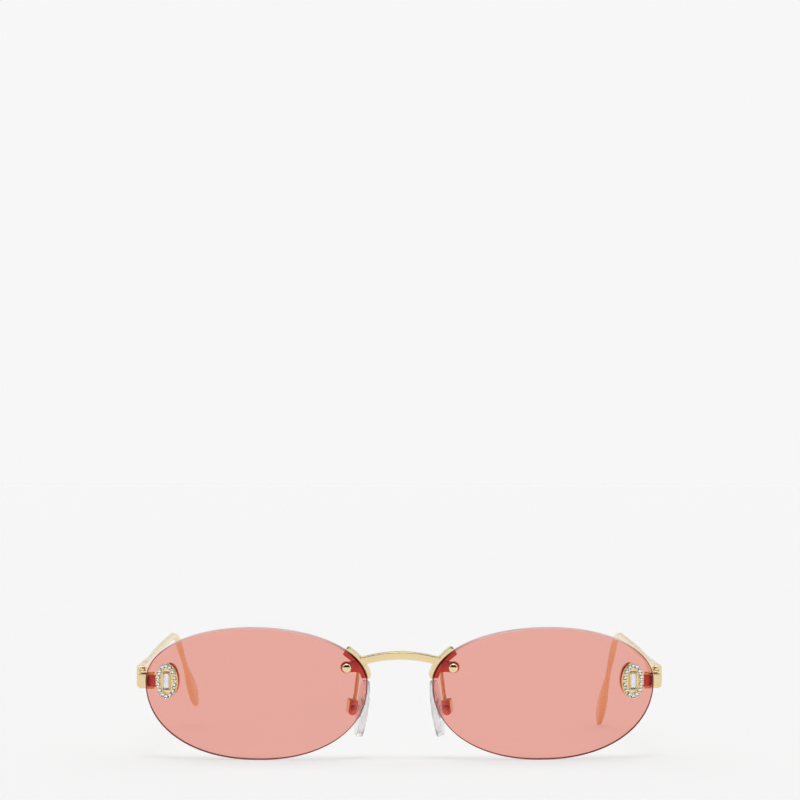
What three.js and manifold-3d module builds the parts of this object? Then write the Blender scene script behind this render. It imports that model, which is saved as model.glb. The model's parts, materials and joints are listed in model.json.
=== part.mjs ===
// Rimless sunglasses with flat oval lenses, wire temples and jewelled corner plaques.
// Millimetres, +Z up, the front looks towards -Y and the temples run back along +Y.
// "left" is the -X side and "right" is the +X side.  Every shape is drawn for the right
// side, and the left side is its mirror image.
import * as THREE from 'three';
import { mergeVertices } from 'three/addons/utils/BufferGeometryUtils.js';
import Module from 'manifold-3d';

const wasm = await Module();
wasm.setup();

const radians = THREE.MathUtils.degToRad;
const smoothstep = THREE.MathUtils.smoothstep;
const mix = THREE.MathUtils.lerp;

// ---- driving dimensions -------------------------------------------------------------

const ROUND = 14;               // facets of a small round piece
const SEAT_GAP = 0.04;          // between two pieces that are fastened face to face
const THROUGH = [-3, 12];       // Y range that passes right through a curved lens
const DRILL = [-2, 7];          // Y range that passes through a lens at one of its seats

const LENS = {
  halfWidth: 28.8,
  above: 14.6,                  // top edge above the widest level
  below: 19.9,                  // bottom edge below the widest level
  fullnessAbove: 2.05,          // 2 is an ellipse, more is squarer
  fullnessBelow: 2.19,
  radius: 132,                  // front surface, a sphere
  thickness: 2.0,
  fromCentre: 37.4,
  wrap: 5,                      // degrees, outer end towards the face
};
const LENS_HEIGHT = LENS.above + LENS.below;
const WIDEST = LENS.below - LENS_HEIGHT / 2;   // widest level above the lens centre

const PANTO = 4.0;              // degrees, lens top forward of square to the temples
const STAND = 4.0;              // degrees, temples rising backwards when it stands

const BRIDGE_SEAT = { x: -23.6, z: 7.0 };     // screw place on the lens
const BRIDGE_SCREW = { headRadius: 1.25, headHeight: 0.8, shank: 0.62 };
const BRIDGE_NUT = { radius: 1.15, thickness: 0.9 };
const BUSHING_WALL = 0.28;
const CLAW = {
  thickness: 1.05,
  proud: 0.3,                   // in front of the lens
  flange: 1.7,                  // inwards from the lens edge, behind the lens
  back: 0.9,                    // thickness behind the lens
  lugRadius: 1.5,
  neck: { length: 2.6, below: -1.4, above: 1.45, turn: 186 },   // from the lug to the strap
  from: 143, to: 174.5,         // degrees along the lens edge
};
const BRIDGE = { top: 28.5, height: 2.05, radius: 35, depth: 1.4, front: 0.1, halfSpan: 12 };

const ORNAMENT_SEAT = { x: 22.9, z: 3.0 };
const PLAQUE = { halfWidth: 3.0, halfHeight: 4.65, thickness: 0.65, edge: 0.12 };
const STONES = { count: 14, halfWidth: 2.3, halfHeight: 3.95, radius: 0.6, height: 0.5 };
const BAGUETTE = { width: 1.6, height: 4.4, thickness: 0.7, bevel: 0.25 };
const POST = { radius: 0.5, z: 3.0 };
const NUT = { radius: 0.9, thickness: 0.95 };
const ENDPIECE = {
  height: 3.3,
  thickness: 1.0,
  reach: 8.75,
  level: -0.7,                  // arm below the middle of the ornament
  rise: 0.5,                    // lower edge of the arm, up towards its outer end
  lowerCorner: 0.9,
  upperCorner: 0.35,
  plateWidth: 2.7,
  plateHeight: 4.35,
};
const BACK_PLATE = 1.0;

const HINGE = {
  x: 66.7, y: 11.0, z: 19.9,    // axis and middle of the barrel, temples level
  radius: 1.3,
  hole: 0.52,
  pin: 0.45,
  knuckles: 5,
  pitch: 0.9,
  slit: 0.05,
  plate: 0.66,
  clear: 0.1,                   // barrel to plate
  headRadius: 0.85,
  headHeight: 0.75,
};
const BARREL = HINGE.knuckles * HINGE.pitch;

const TEMPLE = {
  start: 1.45,                  // butt face behind the hinge axis
  toBend: 74.5,                 // butt face to the start of the bend
  bendRadius: 22,
  wire: 0.95,                   // radius of the round part
  top: 3.25,                    // straight top edge above the middle of the barrel
  buttBottom: -2.25,
  buttInner: -0.2,
  buttOuter: 2.0,
  toeIn: 2.95,                  // degrees
  bow: 0.6,                     // outwards at the middle of the straight part
  hookLength: 37.48,
  paddleHeight: 2.3,            // half sizes of the flattened tip
  paddleWidth: 1.25,
  waist: 0.22,                  // share of the wire lost above the paddle
  taper: 7.5,                   // length of the pointed end
};
const HOOK_DROP = { left: 34.5, right: 42 };  // degrees, the two tips are set differently
const HOOK_LEAN = { left: 2.95, right: 1.15 };  // degrees, inwards from the start of the bend

const PAD = {
  x: 12.4, y: 7.6, z: 12.75,    // middle of the pad box, in the front's own frame
  slant: -8,                    // degrees, tops of the pads towards the nose
  splay: -17,                   // degrees, fronts of the pads towards the nose
  boxInner: -1.1, boxOuter: 1.2,
  boxHalfDepth: 1.3, boxHalfHeight: 2.0,
  wall: 0.65,
  screw: 0.36,
  hole: 0.43,
  headRadius: 0.8, headHeight: 0.4,
  tongue: 0.55,                 // half depth
  eye: 0.6,
  centre: -2.85,
  halfThickness: 1.2, halfDepth: 3.5, halfHeight: 7.4,
  drop: -0.2,
};
const ARM_WIRE = 0.5;

// ---- materials ----------------------------------------------------------------------

const gold = { color: 0xe3c78e, roughness: 0.22, metalness: 1.0 };
const coral = { color: 0xe0796c, roughness: 0.05, metalness: 0.0, transparent: true, opacity: 0.5 };
const silicone = { color: 0xf1f2f3, roughness: 0.3, metalness: 0.0, transparent: true, opacity: 0.5 };
const crystal = { color: 0xfafafc, roughness: 0.02, metalness: 0.0 };
const nylon = { color: 0xe9e6df, roughness: 0.4, metalness: 0.0 };

// ---- solids -------------------------------------------------------------------------

function signedVolume(geometry) {
  const p = geometry.attributes.position;
  const corners = [new THREE.Vector3(), new THREE.Vector3(), new THREE.Vector3()];
  let volume = 0;
  for (let i = 0; i < geometry.index.count; i += 3) {
    corners.forEach((corner, k) => corner.fromBufferAttribute(p, geometry.index.getX(i + k)));
    volume += corners[0].dot(corners[1].cross(corners[2])) / 6;
  }
  return volume;
}

function turnInsideOut(geometry) {
  const index = geometry.index;
  for (let i = 0; i < index.count; i += 3) {
    const first = index.getX(i);
    index.setX(i, index.getX(i + 1));
    index.setX(i + 1, first);
  }
  return geometry;
}

// A closed mesh with shared corners and its faces pointing out.
function closed(geometry) {
  const bare = geometry.clone();
  bare.deleteAttribute('normal');
  bare.deleteAttribute('uv');
  const merged = mergeVertices(bare, 1e-5);
  return signedVolume(merged) < 0 ? turnInsideOut(merged) : merged;
}

function toManifold(geometry) {
  const mesh = closed(geometry);
  return new wasm.Manifold(new wasm.Mesh({
    numProp: 3,
    vertProperties: new Float32Array(mesh.attributes.position.array),
    triVerts: new Uint32Array(mesh.index.array),
  }));
}

function toGeometry(manifold) {
  const mesh = manifold.getMesh();
  const geometry = new THREE.BufferGeometry();
  geometry.setAttribute('position', new THREE.BufferAttribute(mesh.vertProperties, 3));
  geometry.setIndex(new THREE.BufferAttribute(mesh.triVerts, 1));
  return geometry;
}

function combine(operation, first, others) {
  const result = others.reduce((sum, other) => sum[operation](toManifold(other)), toManifold(first));
  return toGeometry(result);
}
const join = (first, ...others) => combine('add', first, others);
const cut = (first, ...others) => combine('subtract', first, others);
const common = (first, ...others) => combine('intersect', first, others);

function mirrored(geometry) {
  const copy = closed(geometry);
  copy.scale(-1, 1, 1);
  return turnInsideOut(copy);
}

function block(x0, x1, y0, y1, z0, z1) {
  const box = new THREE.BoxGeometry(x1 - x0, y1 - y0, z1 - z0);
  return box.translate((x0 + x1) / 2, (y0 + y1) / 2, (z0 + z1) / 2);
}

// A round bar along Y.
function barY(radius, y0, y1, segments = ROUND) {
  return new THREE.CylinderGeometry(radius, radius, y1 - y0, segments).translate(0, (y0 + y1) / 2, 0);
}

// A round bar along Z.
function barZ(radius, z0, z1, segments = ROUND) {
  const bar = new THREE.CylinderGeometry(radius, radius, z1 - z0, segments);
  return bar.rotateX(Math.PI / 2).translate(0, 0, (z0 + z1) / 2);
}

// A shape drawn in X and Z, given a depth from y0 to y1.
function plate(shape, y0, y1, curveSegments = 10) {
  const options = { depth: y1 - y0, bevelEnabled: false, curveSegments };
  return new THREE.ExtrudeGeometry(shape, options).rotateX(Math.PI / 2).translate(0, y1, 0);
}

function oval(halfWidth, halfHeight) {
  return new THREE.Shape().absellipse(0, 0, halfWidth, halfHeight, 0, 2 * Math.PI);
}

// A turned piece: its profile is a list of [radius, y].
function turned(profile, segments = ROUND) {
  return new THREE.LatheGeometry(profile.map(([r, y]) => new THREE.Vector2(r, y)), segments);
}

// A solid through a row of oval or squarish sections.  Each section has a centre, the two
// directions it is measured in, its half sizes and its squareness.
function loft(sections, around = 12) {
  const points = [];
  const faces = [];
  for (const { centre, across, up, halfWidth, halfHeight, squareness } of sections) {
    for (let i = 0; i < around; i += 1) {
      const angle = (2 * Math.PI * i) / around;
      const c = Math.cos(angle);
      const s = Math.sin(angle);
      const u = halfWidth * Math.sign(c) * Math.abs(c) ** (2 / squareness);
      const v = halfHeight * Math.sign(s) * Math.abs(s) ** (2 / squareness);
      points.push(centre.clone().addScaledVector(across, u).addScaledVector(up, v));
    }
  }
  const last = (sections.length - 1) * around;
  for (let row = 0; row < last; row += around) {
    for (let i = 0; i < around; i += 1) {
      const next = (i + 1) % around;
      faces.push(row + i, row + next, row + around + i);
      faces.push(row + next, row + around + next, row + around + i);
    }
  }
  for (let i = 1; i < around - 1; i += 1) {
    faces.push(0, i + 1, i);
    faces.push(last, last + i, last + i + 1);
  }
  const geometry = new THREE.BufferGeometry().setFromPoints(points);
  geometry.setIndex(faces);
  return geometry;
}

// ---- frames of reference ------------------------------------------------------------

// The whole part stands on its lenses and a temple tip.  "worn" has level temples, "front"
// leans the lens plane forward of that.
const stand = new THREE.Group();
const worn = new THREE.Group();
const front = new THREE.Group();
worn.rotation.x = radians(STAND);
front.rotation.x = radians(PANTO);
stand.add(worn);
worn.add(front);

const SIDES = [{ name: 'left', sign: -1 }, { name: 'right', sign: 1 }];

function group(parent, sign, [x, y, z], turnY = 0, turnZ = 0) {
  const frame = new THREE.Group();
  frame.position.set(sign * x, y, z);
  frame.rotation.set(0, sign * radians(turnY), sign * radians(turnZ));
  parent.add(frame);
  return frame;
}

// A frame on the front surface of a lens: Y points straight through the lens.
function seatOnLens(lensFrame, sign, { x, z }) {
  const frame = new THREE.Group();
  const y = LENS.radius - Math.sqrt(LENS.radius ** 2 - x ** 2 - z ** 2);
  const inward = new THREE.Vector3(-sign * x, LENS.radius - y, -z).normalize();
  frame.position.set(sign * x, y, z);
  frame.quaternion.setFromUnitVectors(new THREE.Vector3(0, 1, 0), inward);
  lensFrame.add(frame);
  return frame;
}

function add(frame, side, name, geometry, look) {
  const solid = side && side.sign < 0 ? mirrored(geometry) : closed(geometry);
  const mesh = new THREE.Mesh(solid, new THREE.MeshStandardMaterial(look));
  mesh.name = side ? `${name}_${side.name}` : name;
  frame.add(mesh);
}

// Moves a geometry from one frame into another.
function carried(geometry, from, to) {
  stand.updateMatrixWorld(true);
  const matrix = to.matrixWorld.clone().invert().multiply(from.matrixWorld);
  return geometry.clone().applyMatrix4(matrix);
}

const right = { lens: group(front, 1, [LENS.fromCentre, 0, LENS_HEIGHT / 2], 0, LENS.wrap) };
right.bridgeSeat = seatOnLens(right.lens, 1, BRIDGE_SEAT);
right.ornamentSeat = seatOnLens(right.lens, 1, ORNAMENT_SEAT);
right.hinge = group(worn, 1, [HINGE.x, HINGE.y, HINGE.z]);

// ---- lens ---------------------------------------------------------------------------

// A point of the lens outline, moved outwards by offset.
function rim(angle, offset = 0) {
  const point = (a) => {
    const c = Math.cos(a);
    const s = Math.sin(a);
    const power = 2 / (s >= 0 ? LENS.fullnessAbove : LENS.fullnessBelow);
    const height = s >= 0 ? LENS.above : LENS.below;
    const x = LENS.halfWidth * Math.sign(c) * Math.abs(c) ** power;
    const z = height * Math.sign(s) * Math.abs(s) ** power + WIDEST;
    return new THREE.Vector2(x, z);
  };
  const step = 1e-3;
  const along = point(angle + step).sub(point(angle - step)).normalize();
  return point(angle).add(new THREE.Vector2(along.y, -along.x).multiplyScalar(offset));
}

function rimPoints(fromDegrees, toDegrees, offset, count) {
  const points = [];
  for (let i = 0; i <= count; i += 1) {
    points.push(rim(radians(mix(fromDegrees, toDegrees, i / count)), offset));
  }
  return points;
}

function lensOutline(offset) {
  return new THREE.Shape(rimPoints(0, 360, offset, 56).slice(0, -1));
}

// The space between two spheres about the lens's centre of curvature.
function shell(outer, inner) {
  const rings = 6;
  const widest = radians(17);
  const profile = [];
  for (let i = 0; i <= rings; i += 1) {
    const angle = (widest * i) / rings;
    profile.push([outer * Math.sin(angle), LENS.radius - outer * Math.cos(angle)]);
  }
  for (let i = rings; i >= 0; i -= 1) {
    const angle = (widest * i) / rings;
    profile.push([inner * Math.sin(angle), LENS.radius - inner * Math.cos(angle)]);
  }
  return turned(profile, 30);
}

const lensBack = LENS.radius - LENS.thickness;
const bridgeHole = BRIDGE_SCREW.shank + BUSHING_WALL + 2 * SEAT_GAP;
const postHole = POST.radius + BUSHING_WALL + 2 * SEAT_GAP;

function lens() {
  const blank = common(shell(LENS.radius, lensBack), plate(lensOutline(0), ...THROUGH));
  const bridgeDrill = carried(barY(bridgeHole, ...DRILL), right.bridgeSeat, right.lens);
  const drills = [1, -1].map((end) => {
    const drill = barY(postHole, ...DRILL).translate(0, 0, end * POST.z);
    return carried(drill, right.ornamentSeat, right.lens);
  });
  return cut(blank, bridgeDrill, ...drills);
}

function bushing(inner) {
  const outer = inner + BUSHING_WALL;
  return turned([[inner, 0.02], [outer, 0.02], [outer, LENS.thickness - 0.02],
    [inner, LENS.thickness - 0.02], [inner, 0.02]]);
}

// ---- bridge -------------------------------------------------------------------------

// The claw hugs the inner edge of the lens, with a flange and a screw lug behind it.
function claw() {
  const gap = SEAT_GAP;
  const clawBack = lensBack - gap - CLAW.back;
  const behindLens = shell(lensBack - gap, clawBack);
  const outside = rimPoints(CLAW.from, CLAW.to, CLAW.thickness + gap, 7);
  const strapInside = rimPoints(CLAW.to, CLAW.from, gap, 7);
  const flangeInside = rimPoints(CLAW.to + 2, CLAW.from + 1, -CLAW.flange, 7);
  const strap = common(
    shell(LENS.radius + CLAW.proud, clawBack),
    plate(new THREE.Shape([...outside, ...strapInside]), ...THROUGH),
  );
  const flangeShape = new THREE.Shape([...outside, ...flangeInside]);
  const flange = common(behindLens, plate(flangeShape, ...THROUGH));
  const lugBar = carried(barY(CLAW.lugRadius, ...DRILL), right.bridgeSeat, right.lens);
  const { length, below, above, turn } = CLAW.neck;
  const neck = block(0, length, ...DRILL, below, above).rotateY(radians(turn));
  const neckBar = carried(neck, right.bridgeSeat, right.lens);
  const lug = common(behindLens, join(lugBar, neckBar));
  const drill = carried(barY(BRIDGE_SCREW.shank + gap, ...DRILL), right.bridgeSeat, right.lens);
  return cut(join(strap, flange, lug), drill);
}

function bridgeBar() {
  const { top, height, radius, depth, front: face, halfSpan } = BRIDGE;
  const centreZ = top - radius;
  const angle = Math.asin(halfSpan / radius);
  const arch = new THREE.Shape();
  arch.absarc(0, centreZ, radius, Math.PI / 2 + angle, Math.PI / 2 - angle, true);
  arch.absarc(0, centreZ, radius - height, Math.PI / 2 - angle, Math.PI / 2 + angle, false);
  const bar = plate(arch, face, face + depth, 24);
  const keepOut = plate(lensOutline(CLAW.thickness + 2 * SEAT_GAP), ...THROUGH);
  const rightSide = carried(keepOut, right.lens, front);
  return cut(bar, rightSide, mirrored(rightSide));
}

// A domed head in front of the lens and a plain shank through it.
function domeScrew({ headRadius, headHeight, shank }, end) {
  const profile = [[0, -headHeight - 0.02]];
  for (let i = 1; i <= 4; i += 1) {
    const angle = (Math.PI / 2) * (i / 4);
    profile.push([headRadius * Math.sin(angle), -0.02 - headHeight * Math.cos(angle)]);
  }
  profile.push([shank, -0.02], [shank, end], [0, end]);
  return turned(profile);
}

function ringNut(bore, radius, y0, thickness) {
  const edge = 0.15;
  return turned([[bore, y0], [radius, y0], [radius, y0 + thickness - edge],
    [radius - edge, y0 + thickness], [bore, y0 + thickness], [bore, y0]]);
}

// ---- nose pads ----------------------------------------------------------------------

const padAxis = { x: -0.12, z: -0.1 };

function padArm() {
  const route = [
    [10.7, 3.75, 23.9], [10.7, 5.3, 23.9], [10.75, 6.7, 23.1], [10.85, 7.5, 21.3],
    [11.05, 7.7, 18.8], [11.3, 7.65, 16.6], [11.75, 7.6, 14.9],
  ].map((p) => new THREE.Vector3(...p));
  const path = new THREE.CatmullRomCurve3(route);
  const section = new THREE.Shape().absarc(0, 0, ARM_WIRE, 0, 2 * Math.PI);
  return new THREE.ExtrudeGeometry(section, { steps: 16, curveSegments: 5, extrudePath: path });
}

function padBox() {
  const { boxInner, boxOuter, boxHalfDepth: d, boxHalfHeight: h, wall, hole } = PAD;
  const body = block(boxInner, boxOuter, -d, d, -h, h);
  const slot = block(boxInner - 1, boxOuter - wall, wall - d, d - wall, -h - 1, h - wall);
  const drill = barY(hole, -d - 1, d + 1).translate(padAxis.x, 0, padAxis.z);
  return cut(body, slot, drill);
}

function padScrew() {
  const { boxHalfDepth: d, headRadius, headHeight, screw } = PAD;
  const face = -d - SEAT_GAP;
  const profile = [[0, face - headHeight], [headRadius - 0.12, face - headHeight],
    [headRadius, face - headHeight + 0.12], [headRadius, face], [screw, face], [screw, d], [0, d]];
  return turned(profile).translate(padAxis.x, 0, padAxis.z);
}

// The tongue turns on the screw, and its foot is moulded into the pad.
function padTongue(grown = 0) {
  const t = PAD.tongue + grown;
  const half = PAD.eye + grown;
  const eye = barY(half, -t, t).translate(padAxis.x, 0, padAxis.z);
  const neck = block(PAD.centre, padAxis.x, -t, t, padAxis.z - half, padAxis.z + half);
  const foot = plate(oval(1.3 + grown, 2.7 + grown), -0.25 - grown, 0.25 + grown);
  foot.rotateZ(Math.PI / 2).translate(PAD.centre, 0, PAD.drop);
  return join(eye, neck, foot);
}

function padMount() {
  const drill = barY(PAD.hole, -3, 3).translate(padAxis.x, 0, padAxis.z);
  return cut(padTongue(), drill);
}

// A soft drop-shaped disc, a little wider below, thin at its edge.
function nosePad() {
  const rings = 9;
  const sections = [];
  for (let i = 0; i <= rings; i += 1) {
    const angle = mix(0.04, 0.96, i / rings) * Math.PI;
    const t = -Math.cos(angle);
    const size = Math.sin(angle) ** 0.45;
    sections.push({
      centre: new THREE.Vector3(PAD.centre, 0, PAD.drop + PAD.halfHeight * t),
      across: new THREE.Vector3(1, 0, 0),
      up: new THREE.Vector3(0, 1, 0),
      halfWidth: PAD.halfThickness * (0.25 + 0.75 * size),
      halfHeight: PAD.halfDepth * size * (1 - 0.08 * t),
      squareness: 2.2,
    });
  }
  return cut(loft(sections, 16), padTongue(SEAT_GAP));
}

// ---- end piece and ornament ---------------------------------------------------------

const backFace = LENS.thickness + 0.25;
const backOuter = backFace + BACK_PLATE;

function endPiece() {
  const half = ENDPIECE.height / 2;
  const { reach, thickness, level, rise, lowerCorner, upperCorner } = ENDPIECE;
  const back = plate(oval(ENDPIECE.plateWidth, ENDPIECE.plateHeight), backFace, backOuter);
  const arm = new THREE.Shape();
  arm.moveTo(0, -half);
  arm.lineTo(reach - lowerCorner, rise - half);
  arm.absarc(reach - lowerCorner, rise + lowerCorner - half, lowerCorner, -Math.PI / 2, 0, false);
  arm.absarc(reach - upperCorner, half - upperCorner, upperCorner, 0, Math.PI / 2, false);
  arm.lineTo(0, half);
  const bar = plate(arm, backFace, backFace + thickness, 3).translate(0, 0, level);
  const heelFace = -HINGE.radius - HINGE.clear - HINGE.plate - SEAT_GAP;
  const heel = block(-3.2, 1.35, heelFace - 1.6, heelFace, -1.75, 1.35);
  const seated = carried(join(back, bar), right.ornamentSeat, worn);
  const placed = join(seated, carried(heel, right.hinge, worn));
  const drills = [1, -1].map((end) => {
    const drill = barY(POST.radius + SEAT_GAP, 0, 6).translate(0, 0, end * POST.z);
    return carried(drill, right.ornamentSeat, worn);
  });
  return cut(placed, ...drills);
}

const settingBack = -0.06;

function ornamentSetting() {
  const { halfWidth, halfHeight, thickness, edge } = PLAQUE;
  const face = settingBack - thickness;
  const base = plate(oval(halfWidth, halfHeight), face, settingBack, 14);
  const step = plate(oval(halfWidth - edge, halfHeight - edge), face - edge, settingBack, 14);
  return join(base, step);
}

const stoneBase = settingBack - PLAQUE.thickness - PLAQUE.edge - SEAT_GAP;

// The round stones stand on one thin ring.
function crystalBand() {
  const { count, halfWidth, halfHeight, radius, height } = STONES;
  const ringHalf = 0.25;
  const ringShape = oval(halfWidth + ringHalf, halfHeight + ringHalf);
  ringShape.holes.push(oval(halfWidth - ringHalf, halfHeight - ringHalf));
  const ring = plate(ringShape, stoneBase - 0.15, stoneBase, 7);
  const stones = [];
  for (let i = 0; i < count; i += 1) {
    const angle = (2 * Math.PI * (i + 0.5)) / count;
    const stone = turned([[0, stoneBase - height], [radius * 0.6, stoneBase - height],
      [radius, stoneBase - height * 0.4], [radius * 0.8, stoneBase - 0.02], [0, stoneBase - 0.02]], 6);
    stones.push(stone.translate(halfWidth * Math.cos(angle), 0, halfHeight * Math.sin(angle)));
  }
  return join(ring, ...stones);
}

function baguette() {
  const { width, height, thickness, bevel } = BAGUETTE;
  const section = (inset, depth) => ({
    centre: new THREE.Vector3(0, stoneBase - depth, 0),
    across: new THREE.Vector3(1, 0, 0),
    up: new THREE.Vector3(0, 0, 1),
    halfWidth: width / 2 - inset,
    halfHeight: height / 2 - inset,
    squareness: 24,
  });
  return loft([section(0, 0), section(0, thickness - bevel), section(bevel, thickness)], 8);
}

function ornamentPost(end) {
  return barY(POST.radius, -0.02, backOuter + SEAT_GAP + NUT.thickness).translate(0, 0, end * POST.z);
}

function ornamentNut(end) {
  const nut = ringNut(POST.radius + SEAT_GAP, NUT.radius, backOuter + SEAT_GAP, NUT.thickness);
  return nut.translate(0, 0, end * POST.z);
}

// ---- hinge --------------------------------------------------------------------------

// Knuckles number 0 to 4 from below; the even ones belong to the front leaf.
function knuckles(parity, plateSide) {
  const solids = [];
  for (let i = parity; i < HINGE.knuckles; i += 2) {
    const z0 = -BARREL / 2 + i * HINGE.pitch + HINGE.slit / 2;
    const z1 = z0 + HINGE.pitch - HINGE.slit;
    const far = plateSide * (HINGE.radius + HINGE.clear + 0.05);
    const neck = block(-0.95, -0.25, Math.min(0, far), Math.max(0, far), z0, z1);
    solids.push(join(barZ(HINGE.radius, z0, z1), neck));
  }
  return solids;
}

const pinHole = barZ(HINGE.hole, -BARREL, BARREL);

function frontLeaf() {
  const y1 = -HINGE.radius - HINGE.clear;
  const leaf = block(-3.2, 0.95, y1 - HINGE.plate, y1, -BARREL / 2 + 0.025, BARREL / 2 - 0.025);
  const necks = knuckles(0, -1);
  return cut(join(leaf, ...necks), pinHole);
}

function templeLeaf() {
  const y0 = HINGE.radius + HINGE.clear;
  const inner = TEMPLE.buttInner - SEAT_GAP;
  const leaf = block(inner - HINGE.plate, inner, y0, y0 + 4.4, -BARREL / 2 + 0.025, BARREL / 2 - 0.025);
  return cut(join(leaf, ...knuckles(1, 1)), pinHole);
}

function hingeScrew() {
  const top = BARREL / 2 + HINGE.slit;
  const { headRadius, headHeight, pin } = HINGE;
  const profile = [[0, -BARREL / 2], [pin, -BARREL / 2], [pin, top], [headRadius, top],
    [headRadius, top + headHeight - 0.15], [headRadius - 0.15, top + headHeight], [0, top + headHeight]];
  return turned(profile).rotateX(Math.PI / 2);
}

// ---- temples ------------------------------------------------------------------------

// A flat butt at the hinge runs out to a round wire, bends down and ends in a paddle.
function temple(sideName) {
  const drop = radians(HOOK_DROP[sideName]);
  const lean = radians(HOOK_LEAN[sideName]);
  const { start, toBend, bendRadius, wire, top, hookLength } = TEMPLE;
  const bendLength = bendRadius * drop;
  const total = toBend + bendLength + hookLength;
  const buttCentre = (TEMPLE.buttInner + TEMPLE.buttOuter) / 2;
  const buttHalfWidth = (TEMPLE.buttOuter - TEMPLE.buttInner) / 2;
  const buttHalfHeight = (top - TEMPLE.buttBottom) / 2;

  const station = (s) => {
    const bent = THREE.MathUtils.clamp((s - toBend) / bendRadius, 0, drop);
    const after = Math.max(0, s - toBend - bendLength);
    const thin = smoothstep(s, 4, 24);
    const toTip = total - s;
    const flat = smoothstep(after, 10, 27);
    const rounding = Math.sqrt(Math.max(0.02, 1 - Math.max(0, 1 - toTip / TEMPLE.taper) ** 2));
    const halfHeight = mix(buttHalfHeight, wire, thin) + flat * (TEMPLE.paddleHeight - wire);
    const neck = 1 - TEMPLE.waist * smoothstep(after, 0, 12) * (1 - flat);
    const level = top - mix(buttHalfHeight, wire, thin);
    const y = start + Math.min(s, toBend) + bendRadius * Math.sin(bent) + after * Math.cos(drop);
    const z = level - bendRadius * (1 - Math.cos(bent)) - after * Math.sin(drop);
    const inward = Math.max(0, s - toBend) * Math.tan(lean);
    const bow = TEMPLE.bow * Math.sin(Math.PI * Math.min(1, s / (toBend + bendLength))) ** 2;
    return {
      centre: new THREE.Vector3(mix(buttCentre, 0.5, thin) + bow - inward, y, z),
      across: new THREE.Vector3(1, 0, 0),
      up: new THREE.Vector3(0, Math.sin(bent), Math.cos(bent)),
      halfWidth: mix(buttHalfWidth, mix(wire, TEMPLE.paddleWidth, flat), thin) * neck * rounding,
      halfHeight: halfHeight * neck * rounding,
      squareness: mix(mix(7, 2, thin), 3, flat),
    };
  };

  const places = [0, 2, 4];
  for (let s = 6.5; s < 26; s += 2.5) places.push(s);
  for (let s = 32; s < toBend; s += 12) places.push(s);
  for (let i = 0; i <= 6; i += 1) places.push(toBend + (bendLength * i) / 6);
  for (let s = toBend + bendLength + 5; s < total - 3; s += 3.4) places.push(s);
  for (const toTip of [2.4, 1.4, 0.6, 0.15, 0]) places.push(total - toTip);
  return loft(places.map(station));
}

// ---- assembly -----------------------------------------------------------------------

const nutFace = LENS.thickness + 2 * SEAT_GAP + CLAW.back + 0.02;
const shapes = {
  lens: lens(),
  claw: claw(),
  bridgeScrew: domeScrew(BRIDGE_SCREW, nutFace + BRIDGE_NUT.thickness + 0.03),
  bridgeNut: ringNut(BRIDGE_SCREW.shank + SEAT_GAP, BRIDGE_NUT.radius, nutFace, BRIDGE_NUT.thickness),
  endPiece: endPiece(),
};

add(front, null, 'bridge_bar', bridgeBar(), gold);

for (const side of SIDES) {
  const { sign } = side;
  const lensFrame = group(front, sign, [LENS.fromCentre, 0, LENS_HEIGHT / 2], 0, LENS.wrap);
  add(lensFrame, side, 'lens', shapes.lens, coral);
  add(lensFrame, side, 'bridge_claw', shapes.claw, gold);

  const bridgeSeat = seatOnLens(lensFrame, sign, BRIDGE_SEAT);
  add(bridgeSeat, side, 'bridge_screw', shapes.bridgeScrew, gold);
  add(bridgeSeat, side, 'bridge_bushing', bushing(BRIDGE_SCREW.shank + SEAT_GAP), nylon);
  add(bridgeSeat, side, 'bridge_nut', shapes.bridgeNut, gold);

  add(front, side, 'pad_arm', padArm(), gold);
  const padFrame = group(front, sign, [PAD.x, PAD.y, PAD.z], PAD.slant, PAD.splay);
  add(padFrame, side, 'pad_box', padBox(), gold);
  add(padFrame, side, 'pad_screw', padScrew(), gold);
  add(padFrame, side, 'pad_mount', padMount(), nylon);
  add(padFrame, side, 'nose_pad', nosePad(), silicone);

  add(worn, side, 'end_piece', shapes.endPiece, gold);
  const ornamentSeat = seatOnLens(lensFrame, sign, ORNAMENT_SEAT);
  add(ornamentSeat, side, 'ornament_setting', ornamentSetting(), gold);
  add(ornamentSeat, side, 'crystal_band', crystalBand(), crystal);
  add(ornamentSeat, side, 'baguette_stone', baguette(), crystal);
  for (const [level, end] of [['upper', 1], ['lower', -1]]) {
    const sleeve = bushing(POST.radius + SEAT_GAP).translate(0, 0, end * POST.z);
    add(ornamentSeat, side, `ornament_bushing_${level}`, sleeve, nylon);
    add(ornamentSeat, side, `ornament_post_${level}`, ornamentPost(end), gold);
    add(ornamentSeat, side, `ornament_nut_${level}`, ornamentNut(end), gold);
  }

  const hingeFrame = group(worn, sign, [HINGE.x, HINGE.y, HINGE.z]);
  add(hingeFrame, side, 'hinge_front_leaf', frontLeaf(), gold);
  add(hingeFrame, side, 'hinge_screw', hingeScrew(), gold);
  const templeFrame = group(hingeFrame, sign, [0, 0, 0], 0, TEMPLE.toeIn);
  add(templeFrame, side, 'hinge_temple_leaf', templeLeaf(), gold);
  add(templeFrame, side, 'temple', temple(side.name), gold);
}

// The lowest points touch Z = 0, and Y = 0 is the middle of the depth.
front.remove(right.lens);
worn.remove(right.hinge);
const bounds = new THREE.Box3().setFromObject(stand, true);
stand.position.set(0, -(bounds.min.y + bounds.max.y) / 2, -bounds.min.z);

const sunglasses = new THREE.Group();
sunglasses.add(stand);
export default sunglasses;
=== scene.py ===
# %% [markdown]
# # Rimless oval sunglasses
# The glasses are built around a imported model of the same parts, which gives every place and
# every joint.  Each plain CAD solid is replaced here by a finished piece: a ground and tinted
# lens, a forged wire temple, a set stone.  All shapes are drawn in millimetres for the side
# towards +X and mirrored for the other one, because a pair of glasses is made that way too:
# one set of tools, left hand and right hand.

# %% Load the frame
import json
import math

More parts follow.
